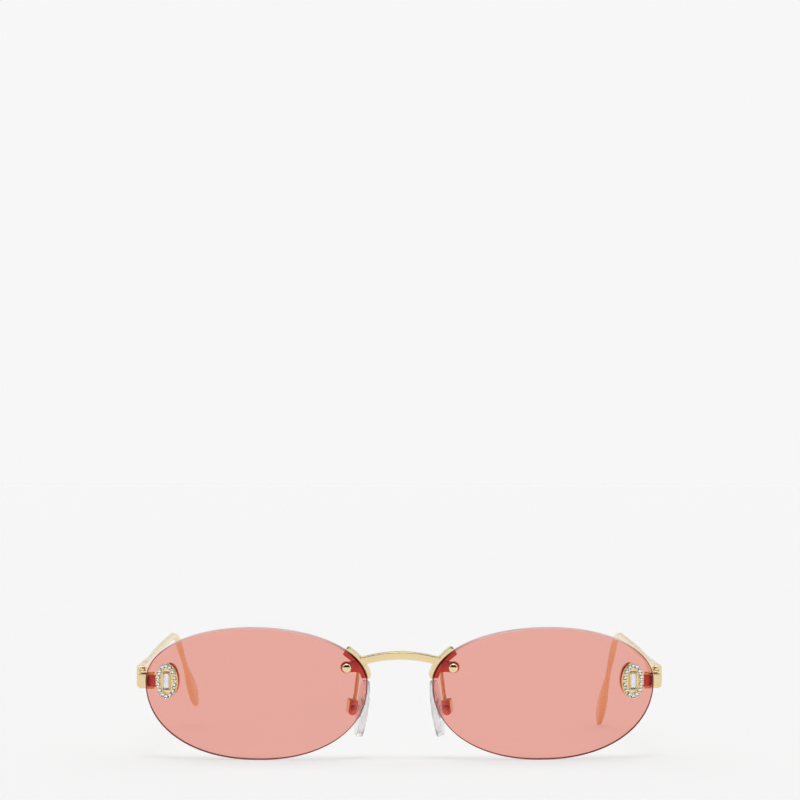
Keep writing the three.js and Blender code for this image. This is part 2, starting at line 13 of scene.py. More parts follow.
import bmesh
import bpy
import numpy as np
from mathutils import Matrix, Vector


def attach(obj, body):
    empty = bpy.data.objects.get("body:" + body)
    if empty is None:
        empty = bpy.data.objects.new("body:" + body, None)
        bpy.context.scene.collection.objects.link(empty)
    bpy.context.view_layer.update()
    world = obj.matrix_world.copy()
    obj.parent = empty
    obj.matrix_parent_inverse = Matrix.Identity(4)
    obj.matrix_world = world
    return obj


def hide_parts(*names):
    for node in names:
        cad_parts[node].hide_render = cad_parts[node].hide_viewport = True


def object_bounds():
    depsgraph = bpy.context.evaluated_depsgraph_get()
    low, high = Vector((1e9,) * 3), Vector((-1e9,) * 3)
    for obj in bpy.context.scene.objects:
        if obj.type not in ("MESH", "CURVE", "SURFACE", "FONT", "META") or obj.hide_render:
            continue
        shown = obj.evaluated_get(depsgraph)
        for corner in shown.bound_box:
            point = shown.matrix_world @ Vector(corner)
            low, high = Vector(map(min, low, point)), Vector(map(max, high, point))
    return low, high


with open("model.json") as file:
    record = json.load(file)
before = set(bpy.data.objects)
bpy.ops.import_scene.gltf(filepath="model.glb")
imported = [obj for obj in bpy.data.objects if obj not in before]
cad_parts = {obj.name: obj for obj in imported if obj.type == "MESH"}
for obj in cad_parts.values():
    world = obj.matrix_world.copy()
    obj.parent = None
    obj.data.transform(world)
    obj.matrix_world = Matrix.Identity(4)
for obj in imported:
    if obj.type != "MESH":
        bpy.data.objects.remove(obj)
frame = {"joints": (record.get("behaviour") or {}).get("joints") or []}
cad_low, cad_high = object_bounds()
print("CAD box, mm:", [round(v * 1000, 1) for v in (*cad_low, *cad_high)])

# %% [markdown]
# ## Frames of reference
# The temples are level when the glasses are worn.  Standing on a table they rise backwards,
# and the lens plane leans forward of them by the pantoscopic angle.  The hinge pins are
# square to the temples, so one hinge position fixes the worn frame, and everything else
# hangs from it.

# %% Worn and front frames, in millimetres
MM = 0.001
STAND = math.radians(4.0)
PANTO = math.radians(4.0)
HINGE_AT = Vector((66.7, 11.0, 19.9))
SIDES = {"left": -1, "right": 1}

joints = {joint["name"]: joint for joint in frame["joints"]}


def at(x, y, z):
    return Matrix.Translation((x, y, z))


def turn(angle, axis):
    return Matrix.Rotation(angle, 4, axis)


hinge_point = Vector(joints["right_temple_hinge"]["pos_m"])
worn_turn = turn(STAND, "X")
worn_origin = hinge_point - (worn_turn @ HINGE_AT) * MM
worn = Matrix.Translation(worn_origin) @ worn_turn @ Matrix.Scale(MM, 4)
front = turn(PANTO, "X")
print("worn frame starts at", [round(v * 1000, 2) for v in worn_origin])

# %% The lens frame and the two places where screws and posts go through it
LENS_HALF_WIDTH = 28.8
LENS_ABOVE, LENS_BELOW = 14.6, 19.9
FULL_ABOVE, FULL_BELOW = 2.05, 2.19
LENS_RADIUS, LENS_THICK = 132.0, 2.0
LENS_HEIGHT = LENS_ABOVE + LENS_BELOW
WIDEST = LENS_BELOW - LENS_HEIGHT / 2
LENS_BACK = LENS_RADIUS - LENS_THICK
LENS_MIDDLE = at(37.4, 0, LENS_HEIGHT / 2)
WRAP = turn(math.radians(5), "Z")
lens_frame = front @ LENS_MIDDLE @ WRAP


def seat(x, z):
    """A frame on the lens's front surface whose Y goes straight through the lens."""
    y = LENS_RADIUS - math.sqrt(LENS_RADIUS**2 - x * x - z * z)
    inward = Vector((-x, LENS_RADIUS - y, -z)).normalized()
    tilt = Vector((0, 1, 0)).rotation_difference(inward).to_matrix().to_4x4()
    return at(x, y, z) @ tilt


BRIDGE_SEAT = seat(-23.6, 7.0)
ORNAMENT_SEAT = seat(22.9, 3.0)
print("lens", 2 * LENS_HALF_WIDTH, "x", LENS_HEIGHT, "mm")

# %% [markdown]
# ## Mesh tools
# Jewellery-sized parts are made with few processes: turning, drawing wire, punching plate and
# rounding its edges.  Each gets one helper here.  A turned piece is a lathe profile, a wire or
# strap is a row of rings, and a punched plate is an outline whose edges are rounded as a
# tumbling drum rounds them.  Booleans cut the holes and slots.

# %% A mesh object from points and faces
def new_object(name, data):
    obj = bpy.data.objects.new(name, data)
    bpy.context.scene.collection.objects.link(obj)
    return obj


def solid(points, faces):
    mesh = bpy.data.meshes.new("blank")
    mesh.from_pydata([tuple(p) for p in points], [], faces)
    work = bmesh.new()
    work.from_mesh(mesh)
    bmesh.ops.recalc_face_normals(work, faces=work.faces)
    work.to_mesh(mesh)
    work.free()
    return new_object("blank", mesh)


def through_rings(rings, hollow=False):
    """A solid through rings of equally many points: flat at both ends, or hollow, last to first."""
    rings = np.asarray(rings, float)
    rows, around = rings.shape[:2]
    faces = []
    for row in range(rows if hollow else rows - 1):
        a, b = row * around, (row + 1) % rows * around
        for i in range(around):
            j = (i + 1) % around
            faces.append((a + i, a + j, b + j, b + i))
    if not hollow:
        faces.append(tuple(range(around)))
        faces.append(tuple((rows - 1) * around + i for i in range(around)))
    return solid(rings.reshape(-1, 3), faces)


def turned(profile, around=48, hollow=False):
    """A piece turned about Y: profile is [radius, y] from one end to the other."""
    angles = np.linspace(0, 2 * math.pi, around, endpoint=False)
    tiny = 1e-3
    rings = []
    for radius, y in profile:
        r = max(radius, tiny)
        rings.append(np.stack([r * np.cos(angles), np.full(around, y), r * np.sin(angles)], 1))
    return through_rings(rings, hollow)


def tube(inner, outer, y0, y1, edge=0.05):
    """A turned ring with small chamfers."""
    return turned([(inner, y0), (outer - edge, y0), (outer, y0 + edge), (outer, y1 - edge),
                   (outer - edge, y1), (inner, y1)], hollow=True)


print("mesh tools: solid, through_rings, turned, tube")

# %% Outlines and punched plates
def ellipse(half_width, half_height, count=64):
    angles = np.linspace(0, 2 * math.pi, count, endpoint=False)
    return np.stack([half_width * np.cos(angles), half_height * np.sin(angles)], 1)


def rounded_box(x0, x1, z0, z1, radius, steps=6):
    """A rectangle with round corners, as an outline."""
    corners = [(x1 - radius, z1 - radius, 0), (x0 + radius, z1 - radius, 90),
               (x0 + radius, z0 + radius, 180), (x1 - radius, z0 + radius, 270)]
    points = []
    for x, z, start in corners:
        for i in range(steps + 1):
            a = math.radians(start + 90 * i / steps)
            points.append((x + radius * math.cos(a), z + radius * math.sin(a)))
    return np.array(points)


def offset(outline, distance):
    """The outline moved outwards along its own normals."""
    along = np.roll(outline, -1, 0) - np.roll(outline, 1, 0)
    normal = np.stack([along[:, 1], -along[:, 0]], 1)
    normal /= np.linalg.norm(normal, axis=1)[:, None]
    return outline + normal * distance


def plate(outline, y0, y1, edge=0.12, steps=4):
    """A plate punched to an outline in X and Z, its edges rounded by edge."""
    rings = []
    for i in range(steps + 1):
        a = 0.5 * math.pi * i / steps
        rings.append((edge * (1 - math.sin(a)), y0 + edge * (1 - math.cos(a))))
    rings += [(inset, y0 + y1 - y) for inset, y in reversed(rings)]
    solid_rings = []
    for inset, y in rings:
        flat = offset(outline, -inset)
        solid_rings.append(np.stack([flat[:, 0], np.full(len(flat), y), flat[:, 1]], 1))
    return through_rings(solid_rings)


def bar_x(x0, x1, y0, y1, z0, z1, edge=0.1):
    """A rectangular block with rounded long edges."""
    return plate(rounded_box(x0, x1, z0, z1, edge), y0, y1, edge)


print("plate tools: ellipse, rounded_box, offset, plate, bar_x")

# %% Cutting, joining and placing
def combine(target, others, operation):
    for other in others:
        step = target.modifiers.new(operation, "BOOLEAN")
        step.operation = operation
        step.solver = "EXACT"
        step.object = other
        view = bpy.context.evaluated_depsgraph_get()
        mesh = bpy.data.meshes.new_from_object(target.evaluated_get(view))
        target.modifiers.clear()
        target.data = mesh
        bpy.data.objects.remove(other)
    return target


def cut(target, *tools):
    return combine(target, tools, "DIFFERENCE")


def fuse(target, *others):
    return combine(target, others, "UNION")


def moved(obj, matrix):
    obj.data.transform(matrix)
    return obj


def rod(radius, y0, y1, place=Matrix.Identity(4), around=48):
    """A plain cylinder along Y, which leaves a hole where it is cut away."""
    return moved(turned([(radius, y0), (radius, y1)], around), place)


def coat(obj, materials, second=None):
    """Fills the material slots; the faces for which second(face) is true get the second one."""
    for material in materials:
        obj.data.materials.append(material)
    if second:
        for face in obj.data.polygons:
            face.material_index = int(second(face))
    return obj


def together(objs):
    """Several separate small solids as one piece."""
    work = bmesh.new()
    for obj in objs:
        work.from_mesh(obj.data)
        bpy.data.objects.remove(obj)
    mesh = bpy.data.meshes.new("group")
    work.to_mesh(mesh)
    work.free()
    return new_object("group", mesh)


made = []


def fit(blank, name, side, place, body, materials, nodes, sharp=32):
    """Puts a right-hand blank in its place on one side, mirrored for the left."""
    obj = blank.copy()
    obj.data = blank.data.copy()
    obj.name = f"{name}_{side}" if side else name
    bpy.context.scene.collection.objects.link(obj)
    sign = SIDES.get(side, 1)
    mirror = Matrix.Diagonal((sign, 1, 1, 1))
    obj.data.transform(worn @ mirror @ place)
    if sign < 0:
        obj.data.flip_normals()
    slots = np.zeros(len(obj.data.polygons), dtype=np.int32)
    obj.data.polygons.foreach_get("material_index", slots)
    obj.data.materials.clear()
    coat(obj, materials)
    obj.data.polygons.foreach_set("material_index", slots)
    obj.data.polygons.foreach_set("use_smooth", [sharp > 0] * len(obj.data.polygons))
    if sharp > 0:
        obj.data.set_sharp_from_angle(angle=math.radians(sharp))
    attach(obj, body)
    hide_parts(*nodes)
    made.append(obj)


def fit_both(blank, name, place, materials, node, body="front", sharp=32):
    """The same piece on both sides; body and node take the side's name."""
    for side in SIDES:
        on = body if body == "front" else f"{side}_{body}"
        fit(blank, name, side, place, on, materials, [f"{node}_{side}"], sharp)
    faces = len(blank.data.polygons)
    bpy.data.objects.remove(blank)
    print(f"{name}: {faces} faces a side")


print("bench tools: cut, fuse, moved, rod, coat, together, fit, fit_both")

# %% [markdown]
# ## Gold plating
# The metal is pale gold over nickel silver, polished and then handled.  A metal's look is its
# reflection, so the material is a Principled shader at full metallic with a nearly even
# colour.  What makes it read as real is in the roughness: buffing haze in long soft patches,
# hairline scratches, and slightly duller skin where fingers go.  Those are three noises in
# the object's own coordinates, so they keep their size on every piece.  The same recipe gives
# the warmer tone of the handled hooks and two painted shades.  One is a dark rose painted on
# metal behind the lens where it faces forward, standing in for the shade there and for the
# tinted lens reflected in it.  The other is a near black painted shade in grooves and slots
# and on the solder.

# %% Node helpers
def put(node, values):
    """Sets constants on a node's own sockets."""
    for socket, value in values.items():
        node.inputs[socket].default_value = value


def new_material(name):
    material = bpy.data.materials.new(name)
    material.use_nodes = True
    tree = material.node_tree
    tree.nodes.clear()
    out = tree.nodes.new("ShaderNodeOutputMaterial")
    shader = tree.nodes.new("ShaderNodeBsdfPrincipled")
    tree.links.new(shader.outputs[0], out.inputs[0])
    return material, tree, shader


def noise(tree, scale, detail=3.0, roughness=0.5, stretch=(1, 1, 1)):
    """Noise in object coordinates; scale is in features per metre."""
    place = tree.nodes.new("ShaderNodeTexCoord")
    shape = tree.nodes.new("ShaderNodeMapping")
    put(shape, {"Scale": stretch})
    texture = tree.nodes.new("ShaderNodeTexNoise")
    put(texture, {"Scale": scale, "Detail": detail, "Roughness": roughness})
    tree.links.new(place.outputs["Object"], shape.inputs["Vector"])
    tree.links.new(shape.outputs["Vector"], texture.inputs["Vector"])
    return texture.outputs["Fac"]


def ramp(tree, value, stops):
    """A colour ramp; stops are (position, colour or grey level)."""
    node = tree.nodes.new("ShaderNodeValToRGB")
    band = node.color_ramp
    while len(band.elements) < len(stops):
        band.elements.new(0.5)
    for element, (position, colour) in zip(band.elements, stops):
        element.position = position
        grey = not hasattr(colour, "__len__")
        element.color = (colour, colour, colour, 1) if grey else (*colour, 1)
    tree.links.new(value, node.inputs["Fac"])
    return node.outputs["Color"]


def mottle(tree, shader, scale, detail, low, high):
    """A base colour that wanders between two close tones."""
    tone = ramp(tree, noise(tree, scale, detail), [(0.3, low), (0.7, high)])
    tree.links.new(tone, shader.inputs["Base Color"])


def calculate(tree, operation, a, b):
    """A maths node; a and b are sockets or plain numbers."""
    node = tree.nodes.new("ShaderNodeMath")
    node.operation = operation
    for socket, value in zip(node.inputs, (a, b)):
        if isinstance(value, (int, float)):
            socket.default_value = value
        else:
            tree.links.new(value, socket)
    return node.outputs[0]


def rising(tree, value, low, high, kind="SMOOTHSTEP"):
    """0 up to low, 1 from high on."""
    node = tree.nodes.new("ShaderNodeMapRange")
    node.interpolation_type = kind
    put(node, {"From Min": low, "From Max": high})
    tree.links.new(value, node.inputs["Value"])
    return node.outputs["Result"]


def bump(tree, shader, height, distance, strength):
    node = tree.nodes.new("ShaderNodeBump")
    put(node, {"Strength": strength, "Distance": distance})
    tree.links.new(height, node.inputs["Height"])
    tree.links.new(node.outputs["Normal"], shader.inputs["Normal"])


print("node tools: noise, ramp, mottle, calculate, rising, bump")

# %% The gold
GOLD = (0.90, 0.72, 0.42)
WARM_GOLD = (0.92, 0.665, 0.40)
# painted shade: this dark rose is not a metal colour but the shade behind the tinted lens, with the lens
# reflected in the metal, painted into the colour
PAINTED_SHADE_ROSE = (0.82, 0.27, 0.24)


def plated(name, colour=GOLD, dull=0.16, haze=0.10):
    material, tree, shader = new_material(name)
    put(shader, {"Metallic": 1.0})
    mottle(tree, shader, 90, 2, [c * 0.97 for c in colour], colour)
    patches = ramp(tree, noise(tree, 260, 4), [(0.35, dull), (0.75, dull + haze)])
    hairlines = ramp(tree, noise(tree, 2600, 2, 0.6, (1, 0.06, 1)), [(0.62, 0.0), (0.70, 0.12)])
    tree.links.new(calculate(tree, "ADD", patches, hairlines), shader.inputs["Roughness"])
    bump(tree, shader, noise(tree, 1800, 3), 6e-6, 0.25)
    return material


polished_gold = plated("polished_gold")
satin_gold = plated("satin_gold", dull=0.26, haze=0.12)
bright_gold = plated("bright_gold", dull=0.05, haze=0.05)
warm_gold = plated("warm_gold", WARM_GOLD, dull=0.22, haze=0.12)
# painted shade: a dark rose for forward faces behind the lens, and below it a near black painted shade
# for grooves, the hinge relief and the solder
painted_rose_shade = plated("painted_rose_shade", PAINTED_SHADE_ROSE, dull=0.30, haze=0.10)
painted_dark_shade = plated("painted_dark_shade", [c * 0.08 for c in PAINTED_SHADE_ROSE], dull=0.5, haze=0.2)
print("gold:", GOLD)

# %% [markdown]
# ## Tinted lens plastic
# The lens is dyed through, so the colour comes from the depth of plastic that light crosses
# and not from a coat of paint.  Full transmission with the tint as base colour gives that at
# this thickness.  The dye bath leaves the tint a touch uneven and cleaning leaves a faint
# haze, which two broad noises add.  The rim was ground on a wheel: it scatters light and, seen
# through a few millimetres of dyed plastic, looks much darker than the faces.  Only its top,
# which the light from above reaches, is pale, so its colour rises with the height.

# %% Lens and ground edge
TINT = (0.87, 0.426, 0.364)
EDGE_TINT = (0.30, 0.035, 0.035)
EDGE_LIT = (0.86, 0.55, 0.52)


def clear_body(name, ior, roughness, scale=35, tones=None):
    """A see-through body with a faint haze; tones are the two ends of an uneven tint."""
    material, tree, shader = new_material(name)
    put(shader, {"Transmission Weight": 1.0, "IOR": ior})
    if tones:
        mottle(tree, shader, scale, 2, *tones)
    low, high = roughness
    haze = ramp(tree, noise(tree, scale * 6, 4), [(0.45, low), (0.8, high)])
    tree.links.new(haze, shader.inputs["Roughness"])
    return material, tree, shader


LENS_IOR = 1.5
EDGE_DARK_BELOW, EDGE_LIT_ABOVE = 0.0265, 0.0315
tinted, _, tinted_shader = clear_body("coral_tint", LENS_IOR, (0.0, 0.02),
                                      tones=([c * 0.985 for c in TINT], TINT))
put(tinted_shader, {"Specular Tint": (0.28, 0.28, 0.30, 1)})
ground, edge_tree, edge_shader = clear_body("ground_edge", LENS_IOR, (0.28, 0.42), 300)
put(edge_shader, {"Transmission Weight": 0.3, "Specular IOR Level": 0.05})
spot = edge_tree.nodes.new("ShaderNodeTexCoord")
level = edge_tree.nodes.new("ShaderNodeSeparateXYZ")
edge_tree.links.new(spot.outputs["Object"], level.inputs[0])
lit_share = rising(edge_tree, level.outputs["Z"], EDGE_DARK_BELOW, EDGE_LIT_ABOVE, "LINEAR")
edge_tree.links.new(ramp(edge_tree, lit_share, [(0.0, EDGE_TINT), (1.0, EDGE_LIT)]),
                    edge_shader.inputs["Base Color"])
bump(edge_tree, edge_shader, noise(edge_tree, 6000, 2), 8e-6, 0.5)
print("tint:", TINT)

# %% [markdown]
# ## The lenses
# A flat oval lens is edged from a round blank whose two faces are spheres about one centre.
# So each face here is a sphere sampled in rings that shrink from the outline to the middle,
# and the rim joins them with a small polished bevel on each side.  A scaled ellipse would
# miss that the lens is fuller below than above, so the outline keeps its own power above and
# below the widest level.

# %% The outline of the lens
def rim(degrees, out=0.0):
    """Points of the lens outline, x and z in the lens frame, moved outwards by out."""
    def curve(a):
        c, s = np.cos(a), np.sin(a)
        power = np.where(s >= 0, 2 / FULL_ABOVE, 2 / FULL_BELOW)
        height = np.where(s >= 0, LENS_ABOVE, LENS_BELOW)
        x = LENS_HALF_WIDTH * np.sign(c) * np.abs(c) ** power
        z = height * np.sign(s) * np.abs(s) ** power + WIDEST
        return np.stack([x, z], -1)
    a = np.radians(degrees)
    along = curve(a + 1e-3) - curve(a - 1e-3)
    along /= np.linalg.norm(along, axis=-1, keepdims=True)
    return curve(a) + np.stack([along[..., 1], -along[..., 0]], -1) * out


def on_sphere(flat, radius):
    """The depth at which a sphere about the lens's centre of curvature meets x and z."""
    return LENS_RADIUS - np.sqrt(radius**2 - (flat**2).sum(-1))


print("top of the rim:", [round(float(v), 2) for v in rim(90.0)])

# %% One lens blank
BEVEL = 0.24
BRIDGE_HOLE, POST_HOLE, POST_OUT = 0.98, 0.86, 3.0


def lens_blank(around=224, rings=14):
    angles = (np.arange(around) + 0.5) * 360 / around
    full, inner = rim(angles), rim(angles, -BEVEL)
    middle = np.array([0.0, WIDEST / 2])
    share = np.linspace(0.04, 1, rings)
    rows = [(middle + (inner - middle) * t, LENS_RADIUS) for t in share]
    rows = [np.insert(flat, 1, on_sphere(flat, radius), 1) for flat, radius in rows]
    y_front = on_sphere(inner, LENS_RADIUS) + BEVEL
    y_back = on_sphere(inner, LENS_BACK) - BEVEL
    rows.append(np.insert(full, 1, y_front, 1))
    rows.append(np.insert(full, 1, y_back, 1))
    back = [middle + (inner - middle) * t for t in share[::-1]]
    rows += [np.insert(flat, 1, on_sphere(flat, LENS_BACK), 1) for flat in back]
    first = (rings - 1) * around
    edge = range(first, first + 3 * around)
    return coat(through_rings(rows), (tinted, ground), lambda face: face.index in edge)


def drill(radius, place):
    """A cutter for a hole through the lens, which leaves a ground wall."""
    return coat(rod(radius, -3, 8, place, 40), (tinted, ground), lambda face: True)


lens = lens_blank()
posts = [ORNAMENT_SEAT @ at(0, 0, end * POST_OUT) for end in (1, -1)]
cut(lens, drill(BRIDGE_HOLE, BRIDGE_SEAT), *[drill(POST_HOLE, place) for place in posts])
fit_both(lens, "oval_lens", lens_frame, [tinted, ground], "lens")

# %% [markdown]
# ## Bridge
# The bridge is a length of flat stock bent to a shallow arch and soldered to two claws.  A
# swept section gives the arch its softened corners.  Each claw is one pressed strap: it hugs
# the edge of the lens from front to back and turns in behind it, where a round lug takes the
# screw.  Sweeping one L-shaped section along the lens's own rim makes it follow the curve
# exactly, which a bent box would not.  Behind the lens the faces that look forward get a dark
# rose painted shade, standing in for the shade there and the tinted lens reflected in them.
# The walls of the groove between strap and lens get a near black painted shade.

# %% Sweeps
def section_ring(centre, across, up, half_width, half_height, squareness=2.0, around=24):
    angles = np.linspace(0, 2 * math.pi, around, endpoint=False)
    c, s = np.cos(angles), np.sin(angles)
    u = half_width * np.sign(c) * np.abs(c) ** (2 / squareness)
    v = half_height * np.sign(s) * np.abs(s) ** (2 / squareness)
    return np.asarray(centre) + np.outer(u, across) + np.outer(v, up)


def wire(route, radius, steps=64, around=20, ends=0.25):
    """A round wire through a route of points, its ends rounded over."""
    route = np.asarray(route, float)
    padded = np.vstack([2 * route[0] - route[1], route, 2 * route[-1] - route[-2]])
    path = []
    for t in np.linspace(0, len(route) - 1 - 1e-6, steps):
        i = int(t)
        p0, p1, p2, p3 = padded[i:i + 4]
        u = t - i
        path.append(0.5 * (2 * p1 + (p2 - p0) * u + (2 * p0 - 5 * p1 + 4 * p2 - p3) * u**2
                           + (3 * p1 - p0 - 3 * p2 + p3) * u**3))
    path = np.array(path)
    along = np.gradient(path, axis=0)
    along /= np.linalg.norm(along, axis=1)[:, None]
    side = np.array([1.0, 0, 0])
    rings = []
    for k, (point, way) in enumerate(zip(path, along)):
        side = side - way * side.dot(way)
        side /= np.linalg.norm(side)
        near_end = min(k, steps - 1 - k)
        size = radius * (1 - ends * max(0.0, 1 - near_end / 2) ** 2)
        rings.append(section_ring(point, side, np.cross(way, side), size, size, 2, around))
    return through_rings(rings)


print("sweep tools: section_ring, wire")

# %% The arch
ARCH = {"top": 28.5, "height": 2.05, "radius": 35.0, "depth": 1.4, "face": 0.1, "half_span": 10.2}


def arch():
    middle = ARCH["radius"] - ARCH["height"] / 2
    centre_z = ARCH["top"] - ARCH["radius"]
    reach = math.asin(ARCH["half_span"] / ARCH["radius"])
    rings = []
    for a in np.linspace(-reach, reach, 60):
        out = np.array([math.sin(a), 0, math.cos(a)])
        centre = out * middle + np.array([0, ARCH["face"] + ARCH["depth"] / 2, centre_z])
        to_end = (reach - abs(a)) * ARCH["radius"]
        flare = 1 + 0.28 * max(0.0, 1 - to_end / 1.6) ** 2
        half_height = ARCH["height"] / 2 * flare
        rings.append(section_ring(centre, (0, 1, 0), out, ARCH["depth"] / 2, half_height, 6, 32))
    return through_rings(rings)


blank = arch()
fit(blank, "bridge_arch", None, front, "front", [polished_gold], ["bridge_bar"])
print("bridge_arch:", len(blank.data.polygons), "faces")
bpy.data.objects.remove(blank)

# %% The claws
CLAW = {"thick": 1.05, "proud": 0.3, "flange": 1.7, "lug": 1.5, "from": 143.0, "to": 174.5}
GAP, GROOVE, BACK_SHEET = 0.04, 0.30, 0.9
SHANK = 0.62
FORWARD = -0.25


def paint_forward_shade(obj, materials, up_to=math.inf):
    """Paints shade: the faces that look forward, at the back of the lens, get the second material,
    a painted shade.

    A piece that sticks out past the lens is divided at x = up_to, and keeps its first material there."""
    if up_to < math.inf:
        work = bmesh.new()
        work.from_mesh(obj.data)
        everything = work.verts[:] + work.edges[:] + work.faces[:]
        bmesh.ops.bisect_plane(work, geom=everything, plane_co=(up_to, 0, 0), plane_no=(1, 0, 0))
        work.to_mesh(obj.data)
        work.free()
    return coat(obj, materials, lambda face: face.center.x < up_to and face.normal.y < FORWARD)


def claw_section(front_y, back_y, thick, turn_in, r=0.12):
    """The L of the strap, as [outwards, y]: front lip, outer face, flange, wall beside the lens."""
    outer, behind = GAP + thick, back_y + BACK_SHEET
    return [(GROOVE, front_y + 1.5), (GROOVE, front_y + r), (GROOVE + r, front_y),
            (outer - 2 * r, front_y), (outer - 0.6 * r, front_y + 0.4 * r), (outer, front_y + 2 * r),
            (outer, behind - 2 * r), (outer - 0.6 * r, behind - 0.6 * r), (outer - 2 * r, behind),
            (r - turn_in, behind), (-turn_in, behind - r), (-turn_in, back_y + r),
            (r - turn_in, back_y), (GAP, back_y), (GAP, front_y + 1.7)]


def claw(steps=48):
    rings = []
    for k, degrees in enumerate(np.linspace(CLAW["from"], CLAW["to"], steps)):
        near_end = min(k, steps - 1 - k)
        slim = 1 - 0.3 * max(0.0, 1 - near_end / 3) ** 2
        edge = rim(degrees)
        out = rim(degrees, 1.0) - edge
        front_y = float(on_sphere(edge, LENS_RADIUS + CLAW["proud"]))
        back_y = float(on_sphere(edge, LENS_BACK)) + GAP
        turn_in = CLAW["flange"] * (0.55 + 0.45 * slim)
        section = claw_section(front_y, back_y, CLAW["thick"] * slim, turn_in)
        rings.append([(edge[0] + out[0] * u, y, edge[1] + out[1] * u) for u, y in section])
    strap = coat(through_rings(rings), (polished_gold, painted_rose_shade, painted_dark_shade))
    around = len(rings[0])
    # painted shade: the groove walls beside the lens get the near black, the flange faces that look
    # forward get the dark rose
    painted_groove_shade, painted_flange_shade = (0, around - 2, around - 1), (around - 4, around - 3)
    for face in strap.data.polygons[:(steps - 1) * around]:
        j = face.index % around
        face.material_index = 2 if j in painted_groove_shade else int(j in painted_flange_shade)
    return strap


def lug():
    """The screw's lug behind the lens, with a neck to the strap."""
    y0 = LENS_THICK + GAP
    disc = plate(ellipse(CLAW["lug"], CLAW["lug"], 48), y0, y0 + BACK_SHEET, 0.14)
    web = np.array([(0, -1.5), (1.2, -1.34), (2.4, -1.42), (3.1, -1.5),
                    (3.1, 1.9), (2.4, 1.5), (1.2, 1.36), (0, 1.5)])
    towards_strap = turn(math.radians(186), "Y")
    neck = moved(plate(web, y0, y0 + BACK_SHEET - 0.06, 0.1), towards_strap)
    # the faces of the lug and neck that look forward get the dark rose painted shade
    return moved(paint_forward_shade(fuse(disc, neck), [polished_gold, painted_rose_shade]), BRIDGE_SEAT)


strap = cut(fuse(claw(), lug()), rod(SHANK + GAP, -1, 7, BRIDGE_SEAT))
fit_both(strap, "lens_claw", lens_frame, [polished_gold, painted_rose_shade, painted_dark_shade], "bridge_claw")

# %% The dome screw, its sleeve and its nut
def dome_screw(head=1.25, height=0.8, under=-0.02, length=3.93):
    profile = [(head * math.sin(a), under - height * (0.12 + 0.88 * math.cos(a)))
               for a in np.linspace(0, 0.5 * math.pi, 14)]
    profile += [(head, under - 0.03), (head - 0.03, under), (SHANK, under), (SHANK, length - 0.08),
                (SHANK - 0.1, length), (0, length)]
    return turned(profile, 64)


def hex_nut(bore, across_corners, y0, thick):
    """A six-sided nut with chamfered corners and a bore."""
    angles = np.linspace(0, 2 * math.pi, 6, endpoint=False)
    flats = np.stack([np.cos(angles), np.sin(angles)], 1) * across_corners
    nut = plate(flats, y0, y0 + thick, 0.06, 2)
    wide, top = across_corners * 1.02, y0 + thick
    crown = turned([(across_corners * 0.86, y0 - 0.01), (wide, y0 + 0.2), (wide, top - 0.2),
                    (across_corners * 0.84, top + 0.01)])
    combine(nut, [crown], "INTERSECT")
    return cut(nut, rod(bore, y0 - 1, y0 + thick + 1))


nylon, nylon_tree, nylon_shader = new_material("nylon_sleeve")
mottle(nylon_tree, nylon_shader, 900, 3, (0.78, 0.76, 0.70), (0.86, 0.84, 0.79))
put(nylon_shader, {"Roughness": 0.42, "Subsurface Weight": 0.2, "Subsurface Scale": 0.0004})

bridge_place = lens_frame @ BRIDGE_SEAT
fit_both(dome_screw(), "dome_screw", bridge_place, [bright_gold], "bridge_screw")
sleeve = tube(SHANK + GAP, SHANK + GAP + 0.28, 0.02, LENS_THICK - 0.02)
fit_both(sleeve, "lens_sleeve", bridge_place, [nylon], "bridge_bushing")
nut = hex_nut(SHANK + GAP, 1.15, 3.0, 0.9)
fit_both(nut, "claw_nut", bridge_place, [satin_gold], "bridge_nut")

# %% [markdown]
# ## Nose pads
# A thin wire carries each pad away from the claw in a gooseneck.  It ends in a small milled
# box, open below, where a screw lets the pad rock to match the nose.  The pad is clear
# silicone moulded round a flat tongue, so the tongue shows through it.  Silicone has a low
# refractive index and a skin that is never quite polished.

# %% Wire, box and screw
PAD_AT = (12.4, 7.6, 12.75)
PAD_SLANT, PAD_SPLAY = math.radians(-8), math.radians(-17)
PAD_PIVOT = (-0.12, 0.0, -0.1)
pad_place = front @ at(*PAD_AT) @ turn(PAD_SLANT, "Y") @ turn(PAD_SPLAY, "Z")

goose_neck = [(10.7, 3.75, 23.9), (10.7, 5.3, 23.9), (10.75, 6.7, 23.1), (10.95, 7.5, 21.3),
              (11.25, 7.7, 18.8), (11.5, 7.65, 16.6), (11.8, 7.6, 14.9)]
GOOSE_NECK_RADIUS = 0.5
SOLDER = {"at": (10.72, 3.95, 23.75), "radius": 0.78, "height": 0.34}


def solder_spot():
    """The flattened drop that joins the wire to the claw."""
    profile = [(SOLDER["radius"] * math.sin(a), -SOLDER["height"] * math.cos(a))
               for a in np.linspace(0, math.pi, 20)]
    return moved(turned(profile, 32), at(*SOLDER["at"]))


# the solder spot's faces that look forward get the near black painted shade
metals = [polished_gold, painted_dark_shade]
pad_wire = fuse(wire(goose_neck, GOOSE_NECK_RADIUS), paint_forward_shade(solder_spot(), metals))
fit_both(pad_wire, "pad_wire", front, metals, "pad_arm")


def round_foot_box(radius=1.15):
    """The outline of the box: square shoulders above, one big radius below."""
    around = np.linspace(-math.pi, 0, 20)
    foot = [(0.05 + radius * math.cos(a), -0.85 + radius * math.sin(a)) for a in around]
    shoulders = [(1.2, 1.75), (1.12, 1.93), (0.95, 2.0), (-0.85, 2.0), (-1.02, 1.93), (-1.1, 1.75)]
    return np.array(foot + shoulders)


